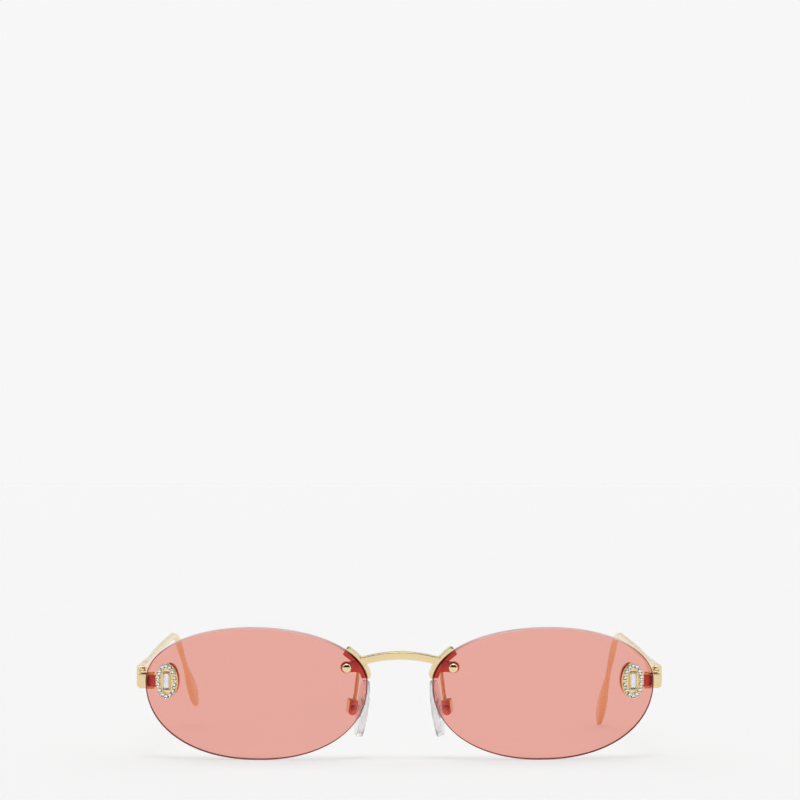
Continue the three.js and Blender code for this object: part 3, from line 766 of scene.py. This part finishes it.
box = plate(round_foot_box(), -1.3, 1.3, 0.2)
pivot = at(*PAD_PIVOT)
PIVOT_BORE, SCREW_SINK = 0.43, 0.93
cut(box, bar_x(-2.5, 0.55, -0.65, 0.65, -3.5, 1.35, 0.08), rod(PIVOT_BORE, -3, 3, pivot),
    rod(SCREW_SINK, -2, -1.18, pivot))
# the pad box's faces that look forward get the dark rose painted shade
metals = [satin_gold, painted_rose_shade]
fit_both(paint_forward_shade(box, metals), "pad_box_shell", pad_place, metals, "pad_box")


def slotted_screw(head, height, shank, length, slot=0.2):
    """A cheese-head screw: the head is towards -Y and the shank runs to +Y from its seat."""
    profile = [(0, -height), (head - 0.12, -height), (head - 0.03, 0.05 - height), (head, 0.14 - height),
               (head, -0.04), (head - 0.04, 0), (shank, 0), (shank, length - 0.1), (shank - 0.1, length),
               (0, length)]
    groove = bar_x(-2, 2, -height - 1, -height * 0.45, -slot / 2, slot / 2, 0.02)
    return cut(turned(profile), moved(groove, turn(math.radians(28), "Y")))


pad_screw_place = pad_place @ pivot @ at(0, -1.34, 0)
# the rocker screw's faces that look forward get the dark rose painted shade
metals = [bright_gold, painted_rose_shade]
screw = paint_forward_shade(slotted_screw(0.8, 0.4, 0.36, 2.6), metals)
fit_both(screw, "rocker_screw", pad_screw_place, metals, "pad_screw")

# %% Tongue and pad
PAD_MIDDLE, PAD_DROP, TONGUE, EYE = -2.85, -0.2, 0.55, 0.6


def tongue():
    pivot_x, _, pivot_z = PAD_PIVOT
    eye = moved(plate(ellipse(EYE, EYE, 40), -TONGUE, TONGUE, 0.08), pivot)
    neck = bar_x(PAD_MIDDLE, pivot_x, 0.02 - TONGUE, TONGUE - 0.02, pivot_z - EYE, pivot_z + EYE, 0.1)
    foot = plate(ellipse(1.3, 2.7), -0.25, 0.25, 0.08)
    moved(foot, at(PAD_MIDDLE, 0, PAD_DROP) @ turn(math.pi / 2, "Z"))
    return cut(fuse(neck, eye, foot), rod(PIVOT_BORE, -3, 3, pivot))


def silicone_pad(half_height=7.4, half_width=3.5, half_thick=1.2):
    rings = []
    for t in np.cos(np.linspace(0.985, 0.015, 40) * math.pi):
        size = math.sqrt(1 - t * t) ** 0.45
        centre = (PAD_MIDDLE, 0, PAD_DROP + half_height * t)
        rings.append(section_ring(centre, (1, 0, 0), (0, 1, 0), half_thick * (0.25 + 0.75 * size),
                                  half_width * size * (1 - 0.08 * t), 2.2, 48))
    return through_rings(rings)


silicone, silicone_tree, silicone_shader = clear_body(
    "clear_silicone", 1.36, (0.10, 0.18), 220, ((0.965, 0.965, 0.985), (0.99, 0.985, 1.0)))
put(silicone_shader, {"Transmission Weight": 0.86})
bump(silicone_tree, silicone_shader, noise(silicone_tree, 1200, 2), 4e-6, 0.3)
insert, _, _ = clear_body("clear_insert", 1.46, (0.10, 0.18), 500,
                          ((0.90, 0.89, 0.92), (0.95, 0.94, 0.96)))
fit_both(tongue(), "pad_tongue", pad_place, [insert], "pad_mount", "pad")
fit_both(silicone_pad(), "silicone_pad", pad_place, [silicone], "nose_pad", "pad", 60)

# %% [markdown]
# ## End pieces
# At each outer corner a gold plate lies behind the lens and its arm reaches past the edge to
# the hinge.  Two posts come through from the ornament in front and nuts clamp the three
# together.  The plate and the arm are one pressing, so they are fused and their edge rounded
# in one go, which leaves no seam between them.

# %% Plate, arm and heel
BACK_FACE = LENS_THICK + 0.25
BACK_OUTER = BACK_FACE + 1.0
ARM = {"height": 3.3, "thick": 1.0, "reach": 8.75, "level": -0.7, "rise": 0.5, "hidden": 5.75,
       "lower_corner": 0.9, "upper_corner": 0.35}
BARREL_RADIUS, BARREL_CLEAR, LEAF = 1.3, 0.1, 0.66
POST_BORE = 0.54
ornament_place = lens_frame @ ORNAMENT_SEAT
post_places = {level: ornament_place @ at(0, 0, end * POST_OUT)
               for level, end in (("upper", 1), ("lower", -1))}
hinge_place = at(*HINGE_AT)


def arm_outline(half):
    """A strip that narrows a little from below towards its rounded outer end."""
    points = []
    for radius, z, start in ((ARM["lower_corner"], ARM["rise"] + ARM["lower_corner"] - half, -90),
                             (ARM["upper_corner"], half - ARM["upper_corner"], 0)):
        for a in np.radians(np.linspace(start, start + 90, 10)):
            points.append((ARM["reach"] - radius + radius * math.cos(a), z + radius * math.sin(a)))
    return np.array(points + [(0, half), (0, -half)])


def end_piece(metals):
    half = ARM["height"] / 2
    # the plate's faces that look forward, and the arm's up to x = hidden, get the dark rose painted
    # shade
    back = paint_forward_shade(plate(ellipse(2.7, 4.35, 96), BACK_FACE, BACK_OUTER, 0.16), metals)
    arm = plate(arm_outline(half), BACK_FACE, BACK_FACE + ARM["thick"], 0.2)
    paint_forward_shade(arm, metals, ARM["hidden"])
    moved(arm, at(0, 0, ARM["level"]))
    seated = moved(fuse(back, arm), ornament_place)
    heel_face = -BARREL_RADIUS - BARREL_CLEAR - LEAF - GAP
    heel = moved(bar_x(-3.2, 1.35, heel_face - 1.6, heel_face, -1.75, 1.35, 0.2), hinge_place)
    fuse(seated, heel)
    return cut(seated, *[rod(POST_BORE, 0, 6, place) for place in post_places.values()])


metals = [polished_gold, painted_rose_shade]
fit_both(end_piece(metals), "end_piece_plate", Matrix.Identity(4), metals, "end_piece")

# %% [markdown]
# ## Cut stones
# Each stone is a small piece of leaded crystal with a mirror foil behind it, so it returns
# light instead of passing it.  A round one has a flat table, a ring of crown facets, a girdle
# and a pointed pavilion.  Flat facets must stay flat: these meshes are shaded flat, because a
# smoothed stone turns into a glass bead.

# %% Crystal and foil
CRYSTAL_IOR = 1.62
crystal, _, _ = clear_body("lead_crystal", CRYSTAL_IOR, (0.0, 0.015), 400,
                           ((0.97, 0.97, 0.98), (0.995, 0.995, 1.0)))
foil, foil_tree, foil_shader = new_material("mirror_foil")
put(foil_shader, {"Metallic": 1.0, "Roughness": 0.12})
mottle(foil_tree, foil_shader, 1500, 2, (0.86, 0.86, 0.87), (0.94, 0.94, 0.95))
print("crystal IOR:", CRYSTAL_IOR)

# %% A round stone and a baguette, pointing to -Y from their girdle's base
def round_stone(radius, crown, pavilion, sides=8):
    points, faces = [], []

    def ring(count, r, y, turn=0.0):
        start = len(points)
        for i in range(count):
            a = 2 * math.pi * (i + turn) / count
            points.append((r * math.cos(a), y, r * math.sin(a)))
        return start

    table = ring(sides, radius * 0.56, -pavilion - crown)
    star = ring(sides, radius * 0.80, -pavilion - crown * 0.58, 0.5)
    girdle = ring(2 * sides, radius, -pavilion - 0.04)
    skirt = ring(2 * sides, radius, -pavilion)
    culet = ring(2 * sides, radius * 0.12, -0.02)
    faces.append(tuple(range(table, table + sides)))
    for i in range(sides):
        j = (i + 1) % sides
        g = [girdle + (2 * i + k) % (2 * sides) for k in range(3)]
        faces.append((table + i, table + j, star + i))
        faces.append((table + i, star + i, g[0]))
        faces.append((star + i, table + j, g[2]))
        faces.append((star + i, g[2], g[1]))
        faces.append((star + i, g[1], g[0]))
    for low, high in ((girdle, skirt), (skirt, culet)):
        for i in range(2 * sides):
            j = (i + 1) % (2 * sides)
            faces.append((low + i, low + j, high + j, high + i))
    faces.append(tuple(range(culet, culet + 2 * sides)))
    return solid(points, faces)


def step_stone(width, height, thick, corner=0.10):
    """A baguette: a table with two steps down to the girdle on every side."""
    rings = []
    for inset, depth in [(0.30, 0.02 / thick), (0.0, 0.34), (0.0, 0.44), (0.13, 0.74), (0.34, 1.0)]:
        w, h, y = width / 2 - inset, height / 2 - inset, -thick * depth
        rings.append([(w, y, h - corner), (w - corner, y, h), (corner - w, y, h), (-w, y, h - corner),
                      (-w, y, corner - h), (corner - w, y, -h), (w - corner, y, -h), (w, y, corner - h)])
    return through_rings(rings)


print("stone tools: round_stone, step_stone")

# %% [markdown]
# ## The ornament
# A stepped oval tray carries fourteen round stones in a halo and a tall baguette in the
# middle.  The jeweller raises beads of metal between the stones to hold them and rolls a
# milled border round the tray.  Beads and border are separate small domes here, since their
# crisp shadows are what tells the eye that stones are set and not glued.

# %% Tray
TRAY = {"half_width": 3.0, "half_height": 4.65, "thick": 0.65, "step": 0.12, "back": -0.06}
HALO = {"count": 14, "half_width": 2.3, "half_height": 3.95, "radius": 0.6}
STONE_FLOOR = TRAY["back"] - TRAY["thick"] - TRAY["step"] - GAP
BAGUETTE = {"width": 1.6, "height": 4.4, "thick": 0.7}
halo_angles = 2 * np.pi * (np.arange(HALO["count"]) + 0.5) / HALO["count"]
halo_spots = np.stack([HALO["half_width"] * np.cos(halo_angles),
                       HALO["half_height"] * np.sin(halo_angles)], 1)
BORDER = {"beads": 52, "inset": 0.16, "radius": 0.13, "height": 0.17}


def dome(x, z, radius, base, height, around=12):
    """A small bead that stands up from its base towards -Y."""
    profile = [(radius * max(math.cos(a), 0.06), -height * math.sin(a))
               for a in np.linspace(0, 0.5 * math.pi, 5)]
    return moved(turned(profile, around), at(x, base, z))


def tray():
    w, h, back = TRAY["half_width"], TRAY["half_height"], TRAY["back"]
    border_w, border_h = w - BORDER["inset"], h - BORDER["inset"]
    body = plate(ellipse(w, h, 128), back - TRAY["thick"], back, 0.1)
    step_top = back - TRAY["thick"] - TRAY["step"]
    fuse(body, plate(ellipse(border_w, border_h, 128), step_top, back - 0.1, 0.05))
    cut(body, plate(ellipse(1.55, 3.15, 96), STONE_FLOOR - 1, STONE_FLOOR + 0.34, 0.05))
    for x, z in halo_spots:
        cut(body, moved(turned([(0.5, -0.3), (0.2, 0.45)], 16), at(x, STONE_FLOOR, z)))
    base, trim = back - TRAY["thick"] - 0.02, []
    for a in 2 * math.pi * np.arange(BORDER["beads"]) / BORDER["beads"]:
        trim.append(dome(border_w * math.cos(a), border_h * math.sin(a), BORDER["radius"], base,
                         BORDER["height"], 10))
    return together([body] + trim)


def prongs():
    """Beads raised between the stones, inside and outside the halo, and claws on the baguette."""
    beads = []
    between = halo_angles + math.pi / HALO["count"]
    for a in between:
        for out in (0.42, -0.42):
            x = (HALO["half_width"] + out) * math.cos(a)
            z = (HALO["half_height"] + out) * math.sin(a)
            beads.append(dome(x, z, 0.15, STONE_FLOOR + 0.06, 0.50))
    for x in (-0.72, 0.72):
        for z in (-2.1, 2.1):
            beads.append(dome(x, z, 0.2, STONE_FLOOR + 0.3, 0.95))
    return beads


def bezel():
    """A thin rectangular wall round the baguette."""
    wall = bar_x(-0.92, 0.92, STONE_FLOOR - 0.34, STONE_FLOOR + 0.38, -2.32, 2.32, 0.08)
    return cut(wall, bar_x(-0.78, 0.78, STONE_FLOOR - 1, STONE_FLOOR + 0.2, -2.18, 2.18, 0.05))


setting = together([tray(), bezel()] + prongs())
fit_both(setting, "ornament_tray", ornament_place, [polished_gold], "ornament_setting")

# %% Stones in their seats
def halo():
    stones = []
    for k, (x, z) in enumerate(halo_spots):
        stone = round_stone(HALO["radius"] - 0.03, 0.24, 0.22)
        stones.append(moved(stone, at(x, STONE_FLOOR + 0.02, z) @ turn(0.7 * k, "Y")))
    return together(stones)


def foils():
    profile = [(0.52, -0.06), (0.16, 0.2), (0.0, 0.2)]
    cups = [moved(turned(profile, 24), at(x, STONE_FLOOR, z)) for x, z in halo_spots]
    cups.append(bar_x(-0.74, 0.74, STONE_FLOOR + 0.06, STONE_FLOOR + 0.19, -2.14, 2.14, 0.03))
    return together(cups)


fit_both(halo(), "halo_stones", ornament_place, [crystal], "crystal_band", sharp=0)
stone = moved(step_stone(BAGUETTE["width"] - 0.1, BAGUETTE["height"] - 0.1, BAGUETTE["thick"]),
              at(0, STONE_FLOOR + 0.02, 0))
fit_both(stone, "baguette_cut", ornament_place, [crystal], "baguette_stone", sharp=0)

backing = foils()
for side in SIDES:
    fit(backing, "stone_foils", side, ornament_place, "front", [foil], [])
bpy.data.objects.remove(backing)

# %% Posts, sleeves and nuts behind the lens
POST, POST_FRONT, POST_END = 0.5, -0.02, BACK_OUTER + 0.99
for level, here in post_places.items():
    post = turned([(0, POST_FRONT), (POST, POST_FRONT), (POST, POST_END - 0.06), (POST - 0.08, POST_END),
                   (0, POST_END)])
    fit_both(post, f"ornament_stud_{level}", here, [polished_gold], f"ornament_post_{level}")
    sleeve = tube(POST_BORE, POST_BORE + 0.28, 0.02, LENS_THICK - 0.02)
    fit_both(sleeve, f"stud_sleeve_{level}", here, [nylon], f"ornament_bushing_{level}")
    nut = hex_nut(POST_BORE, 0.9, BACK_OUTER + GAP, 0.95)
    fit_both(nut, f"stud_nut_{level}", here, [satin_gold], f"ornament_nut_{level}")

# %% [markdown]
# ## Hinges
# A five-knuckle barrel hinge lets the temple fold.  The knuckles belong alternately to the
# leaf on the end piece and the leaf on the temple, with a hair of play between them, and a
# slotted screw is the pin.  Modelling each knuckle with its own rounded rims matters more
# than its material: the row of dark gaps is what a hinge looks like.

# %% Knuckles, leaves and pin
KNUCKLES, PITCH, SLIT, BORE = 5, 0.9, 0.05, 0.52
BARREL = KNUCKLES * PITCH


def upright(obj):
    """Turns a piece made along Y to stand along Z."""
    return moved(obj, turn(math.pi / 2, "X"))


def knuckle(index, plate_side, edge=0.07):
    z0 = -BARREL / 2 + index * PITCH + SLIT / 2
    z1, r = z0 + PITCH - SLIT, BARREL_RADIUS
    ring = upright(turned([(r - edge, z0), (r, z0 + edge), (r, z1 - edge), (r - edge, z1)], 56))
    far = plate_side * (r + BARREL_CLEAR + 0.05)
    neck = bar_x(-0.95, -0.25, min(0, far), max(0, far), z0 + 0.01, z1 - 0.01, 0.04)
    return fuse(ring, neck)


def leaf(first, plate_side, sheet):
    for index in range(first, KNUCKLES, 2):
        fuse(sheet, knuckle(index, plate_side))
    return cut(sheet, upright(rod(BORE, -BARREL, BARREL)))


leaf_front = -BARREL_RADIUS - BARREL_CLEAR
half_barrel = (BARREL - SLIT) / 2
fixed_sheet = bar_x(-3.2, 0.95, leaf_front - LEAF, leaf_front, -half_barrel, half_barrel, 0.1)
relief = bar_x(-1.6, 0.45, leaf_front - LEAF - 1, leaf_front - LEAF + 0.4, 1.5, 1.86, 0.02)
metals = [polished_gold, painted_dark_shade]
# the relief slot's cut faces get the near black painted shade, darkening the recess
cut(coat(fixed_sheet, metals), coat(relief, metals, lambda face: True))
fit_both(leaf(0, -1, fixed_sheet), "fixed_hinge_leaf", hinge_place, metals, "hinge_front_leaf")

BUTT = {"inner": -0.2, "outer": 2.0, "bottom": -2.25, "top": 3.25, "start": 1.45}
TOE_IN = math.radians(2.95)
temple_place = hinge_place @ turn(TOE_IN, "Z")
leaf_back = BARREL_RADIUS + BARREL_CLEAR
inner = BUTT["inner"] - GAP
moving_sheet = bar_x(inner - LEAF, inner, leaf_back, leaf_back + 4.4, -half_barrel, half_barrel, 0.1)
fit_both(leaf(1, 1, moving_sheet), "moving_hinge_leaf", temple_place, [polished_gold],
         "hinge_temple_leaf", "temple")

pin = slotted_screw(0.85, 0.75, 0.45, BARREL + SLIT, 0.22)
moved(pin, at(0, 0, BARREL / 2 + SLIT) @ turn(-math.pi / 2, "X"))
fit_both(pin, "hinge_pin_screw", hinge_place, [bright_gold], "hinge_screw")

# %% [markdown]
# ## Temples
# Each temple is one length of wire, forged flat at the hinge and flat again at the tip, and
# bent down behind the ear.  The section changes all along it, so it is lofted: a squarish
# butt, a round wire, a broad rounded paddle.  The two tips are bent to slightly different
# angles, as a pair that has been fitted to a face is, so each side gets its own drop.

# %% Temple loft
TEMPLE = {"to_bend": 74.5, "bend_radius": 22.0, "wire": 0.92, "bow": 0.6, "hook": 37.48,
          "paddle_height": 2.3, "paddle_width": 1.25, "waist": 0.22, "taper": 7.5}
DROP = {"left": math.radians(34.5), "right": math.radians(42.0)}
LEAN = {"left": math.radians(2.95), "right": math.radians(1.15)}


def smoothstep(x, low, high):
    t = min(1.0, max(0.0, (x - low) / (high - low)))
    return t * t * (3 - 2 * t)


def mix(a, b, t):
    return a + (b - a) * t


def station(s, drop, lean):
    """The temple's section at s along the wire, from the butt to the tip."""
    to_bend, radius, round_wire = TEMPLE["to_bend"], TEMPLE["bend_radius"], TEMPLE["wire"]
    bend = radius * drop
    butt_x = (BUTT["inner"] + BUTT["outer"]) / 2
    butt_w = (BUTT["outer"] - BUTT["inner"]) / 2
    butt_h = (BUTT["top"] - BUTT["bottom"]) / 2
    bent = min(drop, max(0.0, (s - to_bend) / radius))
    after = max(0.0, s - to_bend - bend)
    thin, flat = smoothstep(s, 4, 24), smoothstep(after, 10, 27)
    to_tip = to_bend + bend + TEMPLE["hook"] - s
    rounding = math.sqrt(max(0.02, 1 - max(0.0, 1 - to_tip / TEMPLE["taper"]) ** 2))
    rounding *= 1 - 0.07 * max(0.0, 1 - s / 0.3) ** 2
    neck = 1 - TEMPLE["waist"] * smoothstep(after, 0, 12) * (1 - flat)
    height = mix(butt_h, round_wire, thin) + flat * (TEMPLE["paddle_height"] - round_wire)
    width = mix(butt_w, mix(round_wire, TEMPLE["paddle_width"], flat), thin)
    level = BUTT["top"] - mix(butt_h, round_wire, thin)
    bow = TEMPLE["bow"] * math.sin(math.pi * min(1, s / (to_bend + bend))) ** 2
    x = mix(butt_x, 0.5, thin) + bow - max(0.0, s - to_bend) * math.tan(lean)
    y = BUTT["start"] + min(s, to_bend) + radius * math.sin(bent) + after * math.cos(drop)
    z = level - radius * (1 - math.cos(bent)) - after * math.sin(drop)
    squareness = mix(mix(7, 2, thin), 3, flat)
    up = (0, math.sin(bent), math.cos(bent))
    slim = neck * rounding
    return section_ring((x, y, z), (1, 0, 0), up, width * slim, height * slim, squareness, 40)


def temple(drop, lean):
    """A temple; the hook behind the bend has the second, warmer metal."""
    bend = TEMPLE["bend_radius"] * drop
    total = TEMPLE["to_bend"] + bend + TEMPLE["hook"]
    places = list(np.linspace(0, 0.3, 4)) + list(np.linspace(0.6, total - 3.4, 190))
    places += list(total - 3.2 * (1 - np.sin(np.linspace(0.02, 0.5 * math.pi, 14))))
    hook_start = BUTT["start"] + TEMPLE["to_bend"] + TEMPLE["bend_radius"] * math.sin(drop)
    print("wire from butt to tip:", round(total, 1), "mm")
    return coat(through_rings([station(s, drop, lean) for s in places]), (polished_gold, warm_gold),
                lambda face: face.center.y > hook_start)


for side in SIDES:
    blank = temple(DROP[side], LEAN[side])
    fit(blank, "wire_temple", side, temple_place, f"{side}_temple", [polished_gold, warm_gold],
        [f"temple_{side}"])
    bpy.data.objects.remove(blank)
print(len(made), "finished pieces")

# %% [markdown]
# ## Setting, light and camera
# The glasses stand on a pale sweep that runs out to a pale horizon, so floor and background
# are one tone; a faint glow lifts the floor to the tone of the sky.  A wide soft light overhead
# leaves only a faint shadow under each lens.  Polished metal shows whatever surrounds it, so
# the dome of the sky holds soft boxes and darker gaps above the horizon, and the end in front
# of the glasses is unlit.  With a plain white dome gold looks like yellow paper.

# %% Floor
PALE, FLOOR_TONE, FLOOR_GLOW = 0.93, 0.45, 0.508


def floor(reach=40.0):
    mesh = bpy.data.meshes.new("floor")
    corners = [(-reach, -reach, 0), (reach, -reach, 0), (reach, reach, 0), (-reach, reach, 0)]
    mesh.from_pydata(corners, [], [(0, 1, 2, 3)])
    sweep = new_object("floor", mesh)
    material, tree, shader = new_material("pale_sweep")
    mottle(tree, shader, 8, 2, FLOOR_TONE, FLOOR_TONE + 0.004)
    put(shader, {"Roughness": 0.9, "Specular IOR Level": 0.1,
                 "Emission Color": (1, 1, 1, 1), "Emission Strength": FLOOR_GLOW})
    mesh.materials.append(material)


floor()
print("floor tone:", FLOOR_TONE)

# %% Sky: a pale horizon band, soft boxes and gaps above it
SOFT_BOXES = [
    # azimuth, elevation, spread, edge, brightness
    (-12, 66, 10, 3, 3.0),
    (12, 66, 10, 3, 3.0),
    (70, 42, 13, 5, 1.2),
    (-70, 42, 13, 5, 1.2),
    (140, 42, 16, 6, 1.0),
    (-140, 42, 16, 6, 1.0),
]
# the sine of each elevation and the brightness there, from the horizon to the zenith
SKY_BANDS = [(0.0, PALE), (0.27, PALE), (0.40, 0.06), (0.78, 0.06), (0.88, 0.95), (1.0, 1.05)]
UNLIT = 0.95
world = bpy.data.worlds.new("studio")
bpy.context.scene.world = world
world.use_nodes = True
sky = world.node_tree
sky.nodes.clear()
direction = sky.nodes.new("ShaderNodeTexCoord").outputs["Generated"]
split = sky.nodes.new("ShaderNodeSeparateXYZ")
sky.links.new(direction, split.inputs[0])
height = split.outputs["Z"]


def soft_box(azimuth, elevation, spread, edge):
    """1 inside a soft-edged round patch of sky, 0 outside it."""
    a, e = math.radians(azimuth), math.radians(elevation)
    dot = sky.nodes.new("ShaderNodeVectorMath")
    dot.operation = "DOT_PRODUCT"
    sky.links.new(direction, dot.inputs[0])
    dot.inputs[1].default_value = (math.sin(a) * math.cos(e), -math.cos(a) * math.cos(e), math.sin(e))
    far, near = math.cos(math.radians(spread + edge)), math.cos(math.radians(spread))
    return rising(sky, dot.outputs["Value"], far, near)


# the unlit end of the studio, in front of the glasses, dark from just above the horizon
ahead = rising(sky, calculate(sky, "MULTIPLY", split.outputs["Y"], -1.0), 0.40, 0.70)
dark = calculate(sky, "MULTIPLY", ahead, rising(sky, height, 0.04, 0.08))
lit = calculate(sky, "SUBTRACT", 1.0, calculate(sky, "MULTIPLY", dark, UNLIT))
brightness = calculate(sky, "MULTIPLY", ramp(sky, height, SKY_BANDS), lit)
for *shape, level in SOFT_BOXES:
    patch = calculate(sky, "MULTIPLY", soft_box(*shape), level)
    brightness = calculate(sky, "ADD", brightness, patch)
glow = sky.nodes.new("ShaderNodeBackground")
sky.links.new(brightness, glow.inputs["Strength"])
put(glow, {"Color": (1, 1, 1, 1)})
ending = sky.nodes.new("ShaderNodeOutputWorld")
sky.links.new(glow.outputs[0], ending.inputs[0])
print("sky with", len(SOFT_BOXES), "soft boxes")

# %% Camera: far off, nearly level, a little to the left
DISTANCE, EYE_HEIGHT = 0.900, 0.0726
YAW, TILT = math.radians(0.65), math.radians(1.292)
SENSOR, FOCAL_LENGTH = 36, 157.005
lens_face = Vector((0, cad_low.y + 2.5 * MM, 0))
camera = new_object("camera", bpy.data.cameras.new("camera"))
camera.data.sensor_width = SENSOR
camera.data.lens = FOCAL_LENGTH
camera.data.clip_start, camera.data.clip_end = 0.05, 100
camera.location = lens_face + Vector((-DISTANCE * math.sin(YAW), -DISTANCE * math.cos(YAW), EYE_HEIGHT))
camera.rotation_euler = (math.pi / 2 + TILT, 0, -YAW)
bpy.context.scene.camera = camera
bpy.context.scene.view_settings.view_transform = "Standard"
print("camera at", [round(v, 3) for v in camera.location])
